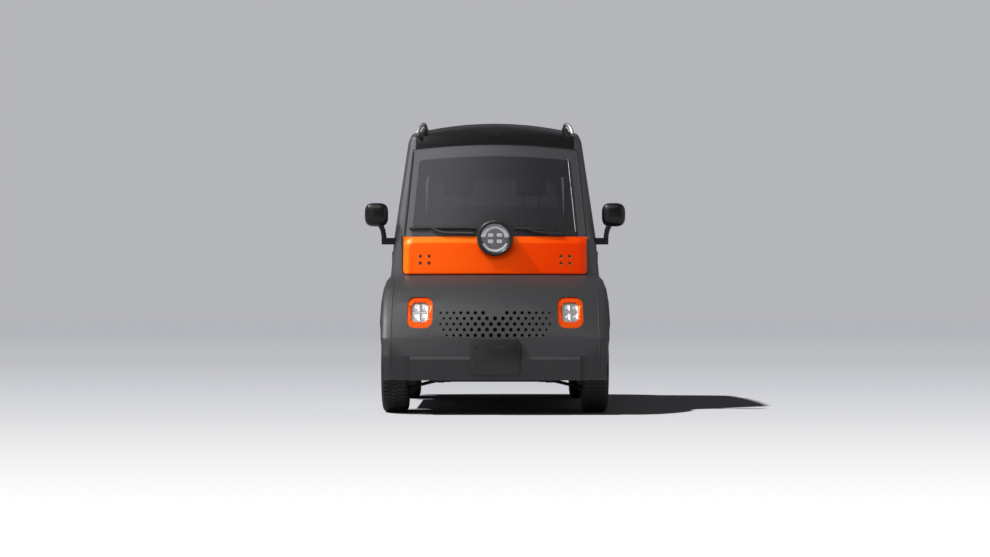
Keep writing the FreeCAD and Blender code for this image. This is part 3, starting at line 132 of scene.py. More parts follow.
class Finish(Shader):
    """One material with a Principled surface.

    wander is the (spread, scale) of its roughness, grain the (scale, detail, depth, strength) of its relief.
    """

    def __init__(self, name, colour, roughness, wander=None, grain=None, **plain):
        self.material = bpy.data.materials.new(name)
        self.material.use_nodes = True
        super().__init__(self.material.node_tree)
        self.surface = self.tree.nodes["Principled BSDF"]
        self.set(self.surface, {"Base Color": (*colour, 1), "Roughness": roughness})
        self.set(self.surface, {key.replace("_", " "): value for key, value in plain.items()})
        if wander:
            spread, scale = wander
            self.set(self.surface, {"Roughness": (self.noise(scale) - 0.5) * spread + roughness})
        if grain:
            scale, detail, depth, strength = grain
            self.bump(self.noise(scale, detail), depth, strength)

    def bump(self, height, depth, strength):
        """Small relief, in metres of depth."""
        values = {"Height": height, "Distance": depth, "Strength": strength}
        self.set(self.surface, {"Normal": self.add("ShaderNodeBump", {}, values)})

    def tinted(self, first, second, share):
        """A base colour between two, by a share that varies."""
        factor, colour_a, colour_b, result = 0, 6, 7, 2
        values = {factor: share, colour_a: (*first, 1), colour_b: (*second, 1)}
        self.set(self.surface, {"Base Color": self.add("ShaderNodeMix", {"data_type": "RGBA"}, values, result)})


ORANGE = (0.92, 0.062, 0.001)
LACQUER = {"Specular_IOR_Level": 0.45, "Specular_Tint": (1.0, 0.42, 0.02, 1)}
BEZEL_GLOSS = {**LACQUER, "Specular_IOR_Level": 0.5}
paint_orange = Finish("orange_lacquer", ORANGE, 0.34, (0.06, 9), **LACQUER)
# The bezels' orange is darker than the panel's: painted shade of the recessed lamp bezels.
shaded_bezel_orange = Finish("orange_bezel_with_painted_shade", (0.70, 0.060, 0.003), 0.28, (0.06, 14), **BEZEL_GLOSS)
fascia_satin = Finish("satin_grey_moulding", (0.034, 0.035, 0.037), 0.42, (0.10, 6), (1400, 1, 0.0002, 0.12),
                      Specular_IOR_Level=0.28)
body_satin = Finish("satin_grey_paint", (0.052, 0.053, 0.056), 0.38, (0.08, 5), Specular_IOR_Level=0.3)
roof_black = Finish("black_lacquer", (0.009, 0.009, 0.010), 0.3, (0.05, 7), Specular_IOR_Level=0.35,
                    Coat_Weight=0.1)
trim_black = Finish("satin_black_plastic", (0.010, 0.010, 0.011), 0.36, (0.10, 30))
gloss_black = Finish("gloss_black_plastic", (0.006, 0.006, 0.007), 0.2, (0.05, 18), Specular_IOR_Level=0.4,
                     Coat_Weight=0.1)
mirror_black = Finish("mirror_housing_black", (0.004, 0.004, 0.005), 0.32, (0.06, 20), Specular_IOR_Level=0.28)
matte_black = Finish("matte_black_plastic", (0.012, 0.012, 0.013), 0.75, (0.12, 25), (900, 1, 0.0003, 0.2))
rubber = Finish("seal_rubber", (0.009, 0.009, 0.009), 0.7, (0.12, 40))
tyre_rubber = Finish("tyre_rubber", (0.011, 0.011, 0.011), 0.82, (0.14, 22), (380, 2, 0.0004, 0.25))
rim_paint = Finish("dark_rim_paint", (0.032, 0.032, 0.034), 0.4, (0.1, 20), Metallic=0.4)
steel = Finish("zinc_plated_steel", (0.42, 0.42, 0.43), 0.32, (0.12, 60), Metallic=1.0)
silver = Finish("satin_silver", (0.42, 0.42, 0.43), 0.36, (0.06, 30), Metallic=0.7)
reflector = Finish("lamp_reflector", (0.62, 0.63, 0.65), 0.2, (0.08, 70), Metallic=0.75)
cell_chrome = Finish("lamp_cell_chrome", (0.46, 0.44, 0.43), 0.24, (0.1, 90), Metallic=0.7)
lamp_white = Finish("lamp_light_guide", (0.80, 0.80, 0.84), 0.35)
lamp_grey = Finish("lamp_inner_grey", (0.085, 0.086, 0.09), 0.4, (0.1, 50), Metallic=0.3)
lamp_red = Finish("tail_lamp_red", (0.42, 0.008, 0.008), 0.12, Coat_Weight=0.6, Coat_Roughness=0.04)
grip = Finish("grained_grip", (0.014, 0.014, 0.015), 0.55, grain=(700, 2, 0.0004, 0.3))
cast = Finish("cast_iron", (0.05, 0.05, 0.052), 0.62, (0.16, 30), (260, 3, 0.0005, 0.3), Metallic=0.6)
block_grey = Finish("cased_block", (0.09, 0.09, 0.095), 0.5, Metallic=0.3)
fabric = Finish("woven_fabric", (0.03, 0.03, 0.033), 0.88, Sheen_Weight=0.3, Sheen_Roughness=0.5)
# Marker dots: a dark disc of painted shade for the inside of each sunk dot, and a lighter disc behind it whose
# lower crescent is a painted highlight.
dot_painted_shade = Finish("marker_dot_painted_shade", (0.13, 0.022, 0.004), 0.4, Specular_IOR_Level=0.1)
dot_painted_highlight = Finish("marker_dot_painted_highlight", (0.75, 0.24, 0.06), 0.4, Specular_IOR_Level=0.2)


def glass(name, colour, alpha, roughness=0.03):
    """See-through glass that keeps its gloss."""
    pane = Finish(name, colour, roughness, Coat_Weight=0.25, Coat_Roughness=0.02, Alpha=alpha)
    pane.material.surface_render_method = "BLENDED"
    return pane


def ramped(value, low, high, first=1.0, last=0.0):
    """A value led smoothly from one end to the other between two limits."""
    limits = {"Value": value, "From Min": low, "From Max": high, "To Min": first, "To Max": last}
    return value.shader.add("ShaderNodeMapRange", {"interpolation_type": "SMOOTHSTEP"}, limits)


SCREEN_FOOT, SCREEN_TOP = 1.001, 1.5275
SCREEN_HALF, SCREEN_TAPER = 0.531, (0.487 - 0.531) / 0.526
screen_glass = glass("windshield_glass", (0.030, 0.031, 0.034), 0.62)
height, across = screen_glass.along("Z"), screen_glass.along("X")
from_side = (height - SCREEN_FOOT) * SCREEN_TAPER + SCREEN_HALF - screen_glass.math("ABSOLUTE", across)
from_top = SCREEN_TOP - height - screen_glass.math("POWER", across, 2.0) * 0.11
band = ramped(screen_glass.math("SMOOTH_MIN", from_side, from_top, 0.03), 0.040, 0.052)
# Painted reflection: the glass is tinted lighter towards its left, standing in for studio light reflected in
# it. The band along its top and sides is the frit print, lighter and less clear.
painted_reflection_left = ramped(across, -0.45, 0.35)
screen_glass.tinted((0.050, 0.051, 0.056), (0.30, 0.303, 0.32), painted_reflection_left * 0.48 + band * 0.20)
screen_glass.set(screen_glass.surface, {"Alpha": band * 0.34 + 0.63})
side_glass = glass("side_glass", (0.020, 0.021, 0.023), 0.66)
lens_clear = glass("lamp_lens_glass", (0.75, 0.77, 0.80), 0.10, 0.02)

THREADS = 240.0
warp, weft = (fabric.add("ShaderNodeTexWave", {"bands_direction": axis},
                         {"Vector": fabric.place(), "Scale": THREADS}) for axis in "XZ")
weave = (warp + weft) * 0.5
fabric.bump(weave, 0.0006, 0.35)
fabric.tinted((0.024, 0.024, 0.027), (0.040, 0.040, 0.044), weave)


# Making and placing pieces

def finished(name, mesh, finish, body, replaces=()):
    """Put a mesh in the scene as a piece of a body."""
    piece = bpy.data.objects.new(name, mesh)
    bpy.context.scene.collection.objects.link(piece)
    return dressed(piece, finish, body, replaces)


def dressed(piece, finish, body, replaces=()):
    """Give an object its finish, its body and the nodes it stands for."""
    piece.data.materials.clear()
    piece.data.materials.append(finish.material)
    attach(piece, body)
    if replaces:
        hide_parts(*replaces)
    return piece


def to_mesh(shape, name, angle=35.0):
    """A bmesh as a mesh, smooth but for its sharp edges."""
    mesh = bpy.data.meshes.new(name)
    shape.to_mesh(mesh)
    shape.free()
    mesh.shade_smooth()
    mesh.set_sharp_from_angle(angle=math.radians(angle))
    return mesh


def outward(shape):
    bmesh.ops.recalc_face_normals(shape, faces=shape.faces)
    return shape


def shown(name, shape, angle, finish, body="body", replaces=()):
    """Turn a bmesh's faces outwards and put it in the scene as a piece."""
    return finished(name, to_mesh(outward(shape), name, angle), finish, body, replaces)


def merged_node(node, join=0.02 * MM):
    """A node's triangles with their shared corners joined, as a bmesh."""
    shape = bmesh.new()
    shape.from_mesh(NODES[node].data)
    bmesh.ops.remove_doubles(shape, verts=shape.verts, dist=join)
    bmesh.ops.dissolve_degenerate(shape, edges=shape.edges, dist=join / 2)
    return shape


def panel_copy(node, finish, angle=28.0):
    """A smooth copy of a CAD node that stands for it."""
    name = node + "_skin"
    mesh = to_mesh(merged_node(node), name, angle)
    piece = finished(name, mesh, finish, BODY_OF[node], (node,))
    piece.modifiers.new("even_normals", "WEIGHTED_NORMAL").keep_sharp = True


class Surface:
    """The skin of CAD nodes, found by rays along an axis."""

    def __init__(self, *nodes):
        shape = bmesh.new()
        for node in nodes:
            shape.from_mesh(NODES[node].data)
        self.tree = BVHTree.FromBMesh(shape)
        shape.free()

    def hit(self, start, towards, lift=0.0):
        """The first point that a ray meets, lifted back off the skin."""
        start, towards = Vector(start), Vector(towards)
        point, normal, _, _ = self.tree.ray_cast(start, towards)
        if point is None:
            return None
        return point + (normal if normal.dot(towards) < 0 else -normal) * lift

    def front(self, x, z, lift=0.0):
        return self.hit((x, -4, z), (0, 1, 0), lift)

    def back(self, x, z):
        return self.hit((x, 4, z), (0, -1, 0))


def turns(count):
    """Even turns of a whole circle."""
    return [2 * math.pi * step / count for step in range(count)]


def bridge(shape, ring, following, closed=True):
    """Add the faces between two rows of corners."""
    count = len(ring)
    for index in range(count if closed else count - 1):
        beside = (index + 1) % count
        shape.faces.new((ring[index], ring[beside], following[beside], following[index]))


def add_tube(shape, path, radius, closed=False, sides=10, flat=1.0):
    """Add a tube along points; flat squashes it along its second axis."""
    count = len(path)
    rings, across = [], None
    for index, point in enumerate(path):
        before = path[index - 1] if closed or index else path[index]
        after = path[(index + 1) % count] if closed or index < count - 1 else path[index]
        along = (after - before).normalized()
        if across is None:
            across = along.cross(Vector((0, 0, 1)))
            if across.length < 0.5:
                across = along.cross(Vector((0, 1, 0)))
        across = (across - along * across.dot(along)).normalized()
        upward = across.cross(along).normalized()
        width = radius[index] if isinstance(radius, (list, tuple)) else radius
        rings.append([shape.verts.new(point + across * width * math.cos(turn)
                                      + upward * width * flat * math.sin(turn)) for turn in turns(sides)])
    for index in range(count if closed else count - 1):
        bridge(shape, rings[index], rings[(index + 1) % count])
    if not closed:
        shape.faces.new(rings[0][::-1])
        shape.faces.new(rings[-1])
    return shape


def add_block(shape, low, high):
    """Add a box between two corners."""
    size, centre = Vector(high) - Vector(low), (Vector(low) + Vector(high)) / 2
    for vert in bmesh.ops.create_cube(shape, size=1.0)["verts"]:
        vert.co = vert.co * size + centre


def add_disc(shape, centre, direction, radius, depth, sides=24, top=None):
    """Add a round plug whose axis is a direction, from its centre backwards."""
    made = bmesh.ops.create_cone(shape, cap_ends=True, segments=sides, radius1=radius,
                                 radius2=radius if top is None else top, depth=depth)
    turn = Vector((0, 0, 1)).rotation_difference(Vector(direction).normalized()).to_matrix().to_4x4()
    bmesh.ops.transform(shape, matrix=Matrix.Translation(centre) @ turn, verts=made["verts"])


def softened(shape, offset, segments):
    """Round every edge of a bmesh."""
    bmesh.ops.bevel(shape, geom=shape.edges[:], offset=offset, segments=segments, affect="EDGES", profile=0.5)


def lathed(profile, steps):
    """A bmesh turned from a closed (along, outward) outline round the X axis."""
    shape = bmesh.new()
    rings = [[shape.verts.new((along, out * math.cos(turn), out * math.sin(turn))) for along, out in profile]
             for turn in turns(steps)]
    for ring, following in zip(rings, rings[1:] + rings[:1]):
        bridge(shape, ring, following)
    return outward(shape)


def squared_circle(turn, power):
    """A point (x, z) on a circle that is pressed towards its square."""
    cosine, sine = math.cos(turn), math.sin(turn)
    return math.copysign(abs(cosine) ** power, cosine), math.copysign(abs(sine) ** power, sine)


def rounded_path(width, height, radius, centre=(0, 0), steps=6):
    """Points (x, z) round a soft-cornered rectangle."""
    points = []
    for corner, (side_x, side_z) in enumerate(((1, 1), (-1, 1), (-1, -1), (1, -1))):
        for step in range(steps + 1):
            turn = math.pi / 2 * (corner + step / steps)
            x = centre[0] + side_x * (width / 2 - radius) + radius * math.cos(turn)
            z = centre[1] + side_z * (height / 2 - radius) + radius * math.sin(turn)
            points.append((x, z))
    return points


def dense(corners, step=0.02):
    """Points every so often along a closed outline."""
    points = []
    for (x, z), (end_x, end_z) in zip(corners, corners[1:] + corners[:1]):
        count = max(1, round(math.hypot(end_x - x, end_z - z) / step))
        points += [(x + (end_x - x) * index / count, z + (end_z - z) * index / count) for index in range(count)]
    return points


def mirrored_too(shape):
    """Add the mirror image, across the car's middle, of all that a bmesh holds."""
    made = bmesh.ops.duplicate(shape, geom=shape.verts[:] + shape.edges[:] + shape.faces[:])["geom"]
    for vert in made:
        if isinstance(vert, bmesh.types.BMVert):
            vert.co.x = -vert.co.x
    bmesh.ops.reverse_faces(shape, faces=[item for item in made if isinstance(item, bmesh.types.BMFace)])
    return shape


# Panels, glass and frame

PANEL_NODES = (
    (body_satin, "side_frame_left side_frame_right rear_quarter_left rear_quarter_right"),
    (body_satin, "door_left door_right tailgate"),
    (roof_black, "roof_panel"),
    (paint_orange, "front_panel"),
    (fascia_satin, "front_fascia front_fender_left front_fender_right rear_bumper"),
    (shaded_bezel_orange, "side_lamp_bezels"),
    (trim_black, "headlamp_body"),
    (lamp_red, "tail_lamps"),
    (screen_glass, "windshield"),
    (side_glass, "door_glass_left door_glass_right quarter_glasses tailgate_glass"),
    (lens_clear, "side_lamp_lenses headlamp_lens"),
    (trim_black, "door_handle_left door_handle_right"),
    (matte_black, "dashboard"),
    (rim_paint, "rim_front_left rim_front_right rim_rear_left rim_rear_right"),
)
for finish, nodes in PANEL_NODES:
    for node in nodes.split():
        panel_copy(node, finish)

PLAIN_NODES = (
    (matte_black, "arch_liners floor_tub chassis_frame front_arms"),
    (matte_black, "steering_column seat_frames footwell_box rear_arch_covers"),
    (block_grey, "battery_pack drive_unit"),
    (cast, "rear_axle knuckle_left knuckle_right"),
    (lamp_grey, "headlamp_modules"),
)
for finish, nodes in PLAIN_NODES:
    for node in nodes.split():
        NODES[node].data.materials.clear()
        NODES[node].data.materials.append(finish.material)

nose_skin = Surface("front_fascia", "front_fender_left", "front_fender_right")
cabin_front = Surface("front_panel", "windshield", "side_frame_left", "side_frame_right", "roof_panel")


# Wheels

WHEEL_SIDES = [(end, side, sign) for end in ("front", "rear") for side, sign in (("left", 1), ("right", -1))]
TYRE_OUTLINE = [(-60, 152), (-66, 160), (-71, 180), (-73.5, 205), (-73, 224), (-68, 238), (-60, 245.5),
                (-45, 247.5), (0, 248), (45, 247.5), (60, 245.5), (68, 238), (73, 224), (73.5, 205), (71, 180),
                (66, 160), (60, 152)]
SHOULDER_LUG = [(38, 244), (38, 253.6), (57, 252.4), (66, 245), (71.5, 233), (66, 231)]
TREAD_FLOOR, TREAD_FACE, TREAD_RADIUS = 244, 253.8, 254
LUG_COUNT, BOLT_COUNT, BOLT_CIRCLE = 64, 4, 52


def lug_mesh():
    """One pitch of tread at the top of a wheel: two shoulder lugs and two slanted centre blocks."""
    shape = bmesh.new()
    half = math.pi * TREAD_RADIUS / LUG_COUNT
    for side in (-1, 1):
        near, far = ([shape.verts.new(Vector((side * x, y, z)) * MM) for x, z in SHOULDER_LUG]
                     for y in (-half * 0.62, half * 0.62))
        bridge(shape, near, far)
        shape.faces.new(near)
        shape.faces.new(far[::-1])
        for start, end, lean in ((3, 17, 9), (20, 34, -9)):
            corners = [(start, -half * 0.55), (end, -half * 0.55 + lean), (end, half * 0.5 + lean),
                       (start, half * 0.5)]
            low, high = ([shape.verts.new(Vector((side * x, y, z)) * MM) for x, y in corners]
                         for z in (TREAD_FLOOR, TREAD_FACE))
            bridge(shape, low, high)
            shape.faces.new(low[::-1])
            shape.faces.new(high)
    return to_mesh(outward(shape), "tread_pitch", 20)


def bolt_mesh():
    """One wheel bolt on the disc at the top of its circle."""
    shape = bmesh.new()
    add_disc(shape, Vector((30, 0, BOLT_CIRCLE)) * MM, (1, 0, 0), 8.5 * MM, 12 * MM, 6)
    add_disc(shape, Vector((36, 0, BOLT_CIRCLE)) * MM, (1, 0, 0), 5 * MM, 6 * MM, 16)
    return to_mesh(outward(shape), "wheel_bolt", 25)


def ring_tree():
    """A node tree that repeats its mesh round the X axis."""
    tree = bpy.data.node_groups.new("ring_of_pieces", "GeometryNodeTree")
    for name, kind in (("Geometry", "Geometry"), ("Count", "Int"), ("Finish", "Material")):
        tree.interface.new_socket(name=name, in_out="INPUT", socket_type="NodeSocket" + kind)
    tree.interface.new_socket(name="Geometry", in_out="OUTPUT", socket_type="NodeSocketGeometry")
    made = {key: tree.nodes.new(kind) for key, kind in (
        ("in", "NodeGroupInput"), ("out", "NodeGroupOutput"), ("points", "GeometryNodePoints"),
        ("copies", "GeometryNodeInstanceOnPoints"), ("index", "GeometryNodeInputIndex"),
        ("share", "ShaderNodeMath"), ("turn", "ShaderNodeMath"), ("angles", "ShaderNodeCombineXYZ"),
        ("real", "GeometryNodeRealizeInstances"), ("finish", "GeometryNodeSetMaterial"))}
    made["share"].operation, made["turn"].operation = "DIVIDE", "MULTIPLY"
    made["turn"].inputs[1].default_value = 2 * math.pi
    for start, output, end, entry in (
            ("in", "Count", "points", "Count"), ("points", 0, "copies", "Points"),
            ("in", "Geometry", "copies", "Instance"), ("index", 0, "share", 0), ("in", "Count", "share", 1),
            ("share", 0, "turn", 0), ("turn", 0, "angles", "X"), ("angles", 0, "copies", "Rotation"),
            ("copies", 0, "real", 0), ("real", 0, "finish", "Geometry"), ("in", "Finish", "finish", "Material"),
            ("finish", 0, "out", 0)):
        tree.links.new(made[start].outputs[output], made[end].inputs[entry])
    return tree


RING = ring_tree()


def ring_of(mesh, count, finish):
    """A mesh repeated round the X axis as one plain mesh."""
    holder = bpy.data.objects.new("ring_holder", mesh)
    bpy.context.scene.collection.objects.link(holder)
    ring = holder.modifiers.new("ring", "NODES")
    ring.node_group = RING
    wanted = {"Count": count, "Finish": finish.material}
    for item in RING.interface.items_tree:
        if item.in_out == "INPUT" and item.name in wanted:
            ring[item.identifier] = wanted[item.name]
    result = evaluated(holder)
    holder.modifiers.remove(ring)
    bpy.data.objects.remove(holder)
    return result


def evaluated(piece):
    """A piece's mesh with its modifiers worked out."""
    return bpy.data.meshes.new_from_object(piece.evaluated_get(bpy.context.evaluated_depsgraph_get()))


tread = ring_of(lug_mesh(), LUG_COUNT, tyre_rubber)
bolts = ring_of(bolt_mesh(), BOLT_COUNT, steel)
for end, side, sign in WHEEL_SIDES:
    tyre, name = "tyre_%s_%s" % (end, side), "tyre_%s_%s_tread" % (end, side)
    low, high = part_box(tyre)
    body = "wheel_%s_%s" % (end, side)
    place = Matrix.Translation((low + high) / 2) @ Matrix.Rotation(0 if sign > 0 else math.pi, 4, "Z")
    carcass = lathed([(along * MM, out * MM) for along, out in TYRE_OUTLINE], 96)
    carcass.from_mesh(tread)
    bmesh.ops.transform(carcass, matrix=place, verts=carcass.verts)
    finished(name, to_mesh(carcass, name, 30), tyre_rubber, body, (tyre,))
    hub = bmesh.new()
    hub.from_mesh(bolts)
    add_disc(hub, Vector((31, 0, 0)) * MM, (1, 0, 0), 31 * MM, 16 * MM, 40, 26 * MM)
    bmesh.ops.transform(hub, matrix=place, verts=hub.verts)
    name = "hub_%s_%s" % (end, side)
    finished(name, to_mesh(hub, name, 30), steel, body)


# Dark sheet behind the holes of the nose

GRILLE_SHADE_DEPTH = 26 * MM


def without_holes(skin, xs, zs):
    """The nose's depth y(x, z) with its holes bridged, from a few points round them."""
    depths = []
    for z in zs:
        near = [[skin.front(x + shift, z) for shift in (0, -0.009, 0.009, -0.018, 0.018)] for x in xs]
        depths.append([min(point.y for point in points if point is not None) for points in near])
    return lambda x, z: float(numpy.interp(z, zs, [numpy.interp(x, xs, row) for row in depths]))


SOLID_XS, SOLID_ZS = [-0.36, -0.24, -0.12, 0.0, 0.12, 0.24, 0.36], [0.40, 0.4525, 0.5455, 0.60]
nose_depth = without_holes(nose_skin, SOLID_XS, SOLID_ZS)
shade = bmesh.new()
rows = []
for z in [0.41 + 0.02 * step for step in range(10)]:
    spots = [(-0.33 + 0.055 * step, z) for step in range(13)]
    rows.append([shade.verts.new((x, nose_depth(x, z) + GRILLE_SHADE_DEPTH, z)) for x, z in spots])
for row, following in zip(rows, rows[1:]):
    bridge(shade, row, following, closed=False)
bmesh.ops.solidify(shade, geom=shade.faces[:], thickness=2 * MM)
shown("grille_shade", shade, 35, matte_black)


# Orange panel: raised inner field and marker dots

def fit_terms(x, z):
    return [x ** (2 * a) * z ** b for a in range(4) for b in range(3)]


def skin_fit(surface, xs, zs):
    """A smooth even surface y(x, z) through the points that rays find."""
    rows, depths = [], []
    for x in xs:
        for z in zs:
            spot = surface.front(x, z)
            if spot is not None:
                rows.append(fit_terms(x, z))
                depths.append(spot.y)
    answer = numpy.linalg.lstsq(numpy.array(rows), numpy.array(depths), rcond=None)[0]
    return lambda x, z: float(numpy.dot(fit_terms(x, z), answer))


PANEL_LOW, PANEL_HIGH, PANEL_HALF, PANEL_ROUND = 0.779, 0.999, 0.533, 0.062
BAND_WIDTH, BAND_RISE = 0.036, 0.016
FIELD_GAP, FIELD_FOOT, FIELD_CORNER = 0.0006, 0.006, 0.028
LAMP = Vector((0, 0, 0.989))
LAMP_CUT = 0.094
panel_y = skin_fit(Surface("front_panel"), [-0.5 + 0.05 * step for step in range(21)],
                   [0.79, 0.83, 0.87, 0.91, 0.95, 0.99])


def field_lift(x, z):
    """How far the field stands off the panel: a soft step in from its top and sides."""
    edge = min(PANEL_HALF - abs(x), PANEL_HIGH - z)
    corner_x, corner_z = PANEL_HALF - PANEL_ROUND - abs(x), PANEL_HIGH - PANEL_ROUND - z
    if corner_x < 0 and corner_z < 0:
        edge = PANEL_ROUND - math.hypot(corner_x, corner_z)
    step = min(max(edge / BAND_WIDTH, 0), 1)
    eased = step + 0.10 * math.sin(2 * math.pi * step) * (step - 1) * step
    return FIELD_GAP + BAND_RISE * eased * min((z - PANEL_LOW) / FIELD_FOOT, 1)


def on_field(spot):
    """Whether a spot is clear of the lamp and inside the rounded corners."""
    far_x = abs(spot.x) - (PANEL_HALF - FIELD_CORNER)
    far_z = max(PANEL_LOW + FIELD_CORNER - spot.z, spot.z - (PANEL_HIGH - FIELD_CORNER))
    off_corner = far_x > 0 and far_z > 0 and math.hypot(far_x, far_z) > FIELD_CORNER - 0.0005
    return math.hypot(spot.x, spot.z - LAMP.z) > LAMP_CUT and not off_corner


def panel_field(columns=181, rows=40):
    """The panel's raised field, cut round the lamp."""
    shape = bmesh.new()
    grid = []
    for row in range(rows + 1):
        z = PANEL_LOW + (PANEL_HIGH - PANEL_LOW) * row / rows
        xs = [PANEL_HALF * (2 * column / columns - 1) for column in range(columns + 1)]
        grid.append([shape.verts.new((x, panel_y(x, z) - field_lift(x, z), z)) for x in xs])
    for line, above in zip(grid, grid[1:]):
        for left in range(columns):
            corners = (line[left], line[left + 1], above[left + 1], above[left])
            if on_field(sum((vert.co for vert in corners), Vector()) / 4):
                shape.faces.new(corners)
    bmesh.ops.delete(shape, geom=[vert for vert in shape.verts if not vert.link_faces], context="VERTS")
    return to_mesh(shape, "panel_field", 60)


# Painted light: the field's orange is lighter and yellower towards the left and along its top and left band,
# and darker red towards the right. It stands in for the light from the upper left and its highlight on the
# band's bevel.
field_orange = Finish("orange_lacquer_field_with_painted_light", ORANGE, 0.34, **LACQUER)
field_across = field_orange.along("X")
from_left, from_crown = field_across + PANEL_HALF, PANEL_HIGH - field_orange.along("Z")
field_edge = field_orange.math("SMOOTH_MIN", from_left, from_crown, 0.03)
painted_band_highlight = ramped(field_edge, BAND_WIDTH * 0.8, BAND_WIDTH * 1.1)
painted_light_fade = ramped(field_across, -0.55, 0.55)
painted_light_share = painted_light_fade * 0.26 + painted_band_highlight * painted_light_fade * 0.5 + painted_band_highlight * 0.10
field_orange.tinted((0.84, 0.036, 0.001), (0.97, 0.190, 0.003), painted_light_share)
finished("panel_field", panel_field(), field_orange, "body")

# Each dot: the dark disc is painted shade inside the sunk dot. The lighter disc, set 2.2 mm lower, shows as a
# crescent: a painted highlight on the dot's lit lower edge.
dots, dot_painted_highlights = bmesh.new(), bmesh.new()
for x in (-0.431, -0.381, 0.381, 0.431):
    for z in (0.846, 0.886):
        facing = (0, -1, (panel_y(x, z + 0.01) - panel_y(x, z - 0.01)) / 0.02)
        centre = Vector((x, panel_y(x, z) - BAND_RISE - FIELD_GAP, z))
        add_disc(dots, centre, facing, 10.5 * MM, 3 * MM, 28)
        add_disc(dot_painted_highlights, centre + Vector((0, 0.0004, -0.0022)), facing, 13 * MM, 3 * MM, 32)
shown("marker_dots", dots, 30, dot_painted_shade)
shown("marker_dot_painted_highlights", dot_painted_highlights, 30, dot_painted_highlight)


# Central lamp

lamp_low, lamp_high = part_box("headlamp_modules")
LAMP_FLOOR = lamp_high.y
LAMP_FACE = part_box("headlamp_body")[0].y
BOW_RINGS, BOW_POWER = 7, 1.7


def sector(start, end, near, far, depth_near, depth_far, thick, steps=40):
    """A bowed band round the lamp between two turns, in degrees; its depths are from the lamp's floor."""
    shape, rows = bmesh.new(), []
    for step in range(steps + 1):
        turn = math.radians(start + (end - start) * step / steps)
        row = []
        for share in (ring / (BOW_RINGS - 1) for ring in range(BOW_RINGS)):
            radius = near + (far - near) * share
            depth = LAMP_FLOOR + depth_near + (depth_far - depth_near) * share ** BOW_POWER
            row.append(LAMP + Vector((radius * math.cos(turn), depth, radius * math.sin(turn))))
        rows.append(row)
    front, back = ([[shape.verts.new(point + Vector((0, push, 0))) for point in row] for row in rows]
                   for push in (0, thick))
    for layer in (front, back):
        for row, following in zip(layer, layer[1:]):
            bridge(shape, row, following, closed=False)
    for side in (0, BOW_RINGS - 1):
        bridge(shape, [row[side] for row in front], [row[side] for row in back], closed=False)
    for index in (0, steps):
        bridge(shape, front[index], back[index], closed=False)
    return shape


for name, finish, *measures in (
        ("lamp_upper_reflector", reflector, 4, 176, 0.056, 0.083, -0.014, -0.030, 0.003),
        ("lamp_light_guide", lamp_white, 205, 335, 0.066, 0.080, -0.018, -0.030, 0.004),
        ("lamp_dark_ledge", gloss_black, 172, 368, 0.056, 0.0665, -0.012, -0.016, 0.003)):
    shown(name, sector(*measures), 40, finish)
modules, module_frames, lamp_ring = bmesh.new(), bmesh.new(), bmesh.new()
for x in (-0.0255, 0.0255):
    for z in (-0.018, 0.018):
        face = LAMP + Vector((x, lamp_low.y, z))
        add_block(modules, face + Vector((-0.0155, -0.003, -0.0105)), face + Vector((0.0155, 0.001, 0.0105)))
        path = [face + Vector((px, -0.001, pz)) for px, pz in rounded_path(0.039, 0.028, 0.006)]
        add_tube(module_frames, path, 3.4 * MM, closed=True, sides=8)
softened(modules, 2.2 * MM, 3)
shown("lamp_light_modules", modules, 40, lamp_white)
shown("lamp_module_frames", module_frames, 60, trim_black)
RING_RADIUS = 0.087
loop = [LAMP + Vector((RING_RADIUS * math.cos(turn), LAMP_FACE + 0.004, RING_RADIUS * math.sin(turn)))
        for turn in turns(72)]
add_tube(lamp_ring, loop, 3.2 * MM, closed=True)
shown("lamp_inner_ring", lamp_ring, 60, gloss_black)


# Side lamps

SIDE_LAMP = Vector((0.420, 0, 0.563))
CELL_SIZE, CELL_FACE, CELL_DEPTH, CELL_ROUND = (0.043, 0.050), 0.0055, 0.008, 0.55


def bowl(shape, centre):
    """A concave reflector cell that opens to the front."""
    rings, loops = 6, []
    for share in (ring / rings for ring in range(rings + 1)):
        half_x, half_z = (size / 2 * (1 - share * 0.85) for size in CELL_SIZE)
        depth = CELL_DEPTH * math.sin(share * math.pi / 2)
        corners = [squared_circle(turn, CELL_ROUND) for turn in turns(28)]
        loops.append([shape.verts.new(centre + Vector((x * half_x, depth, z * half_z))) for x, z in corners])
    for outer, inner in zip(loops, loops[1:]):
        bridge(shape, outer, inner)
    shape.faces.new(loops[-1])


cells, bars, bulbs = bmesh.new(), bmesh.new(), bmesh.new()
lens_skin = Surface("side_lamp_lenses")
lens_spots = [(1, x, z) for x in (-0.03, 0, 0.03) for z in (-0.035, 0, 0.035)]
lens_depths = [lens_skin.front(SIDE_LAMP.x + x, SIDE_LAMP.z + z).y for _, x, z in lens_spots]
lens_plane = numpy.linalg.lstsq(numpy.array(lens_spots), numpy.array(lens_depths), rcond=None)[0]
for x, z in ((-0.0225, 0.026), (0.0225, 0.026), (-0.0225, -0.026), (0.0225, -0.026)):
    bowl(cells, SIDE_LAMP + Vector((x, CELL_FACE, z)))
    add_disc(bulbs, SIDE_LAMP + Vector((x, 0.010, z)), (0, -1, 0), 7 * MM, 5 * MM, 16, 5 * MM)
for reach in (Vector((0.044, 0, 0)), Vector((0, 0, 0.052))):
    middle = SIDE_LAMP + Vector((0, CELL_FACE, 0))
    add_tube(bars, [middle - reach, middle + reach], 2.2 * MM, sides=8)
edge_loop = [SIDE_LAMP + Vector((x, 0.0045, z)) for x, z in rounded_path(0.090, 0.106, 0.028)]
add_tube(bars, edge_loop, 3.0 * MM, closed=True)
for shape in (cells, bars, bulbs):
    for vert in shape.verts:
        vert.co.y += float(numpy.dot(lens_plane, (1, vert.co.x - SIDE_LAMP.x, vert.co.z - SIDE_LAMP.z)))
    mirrored_too(shape)
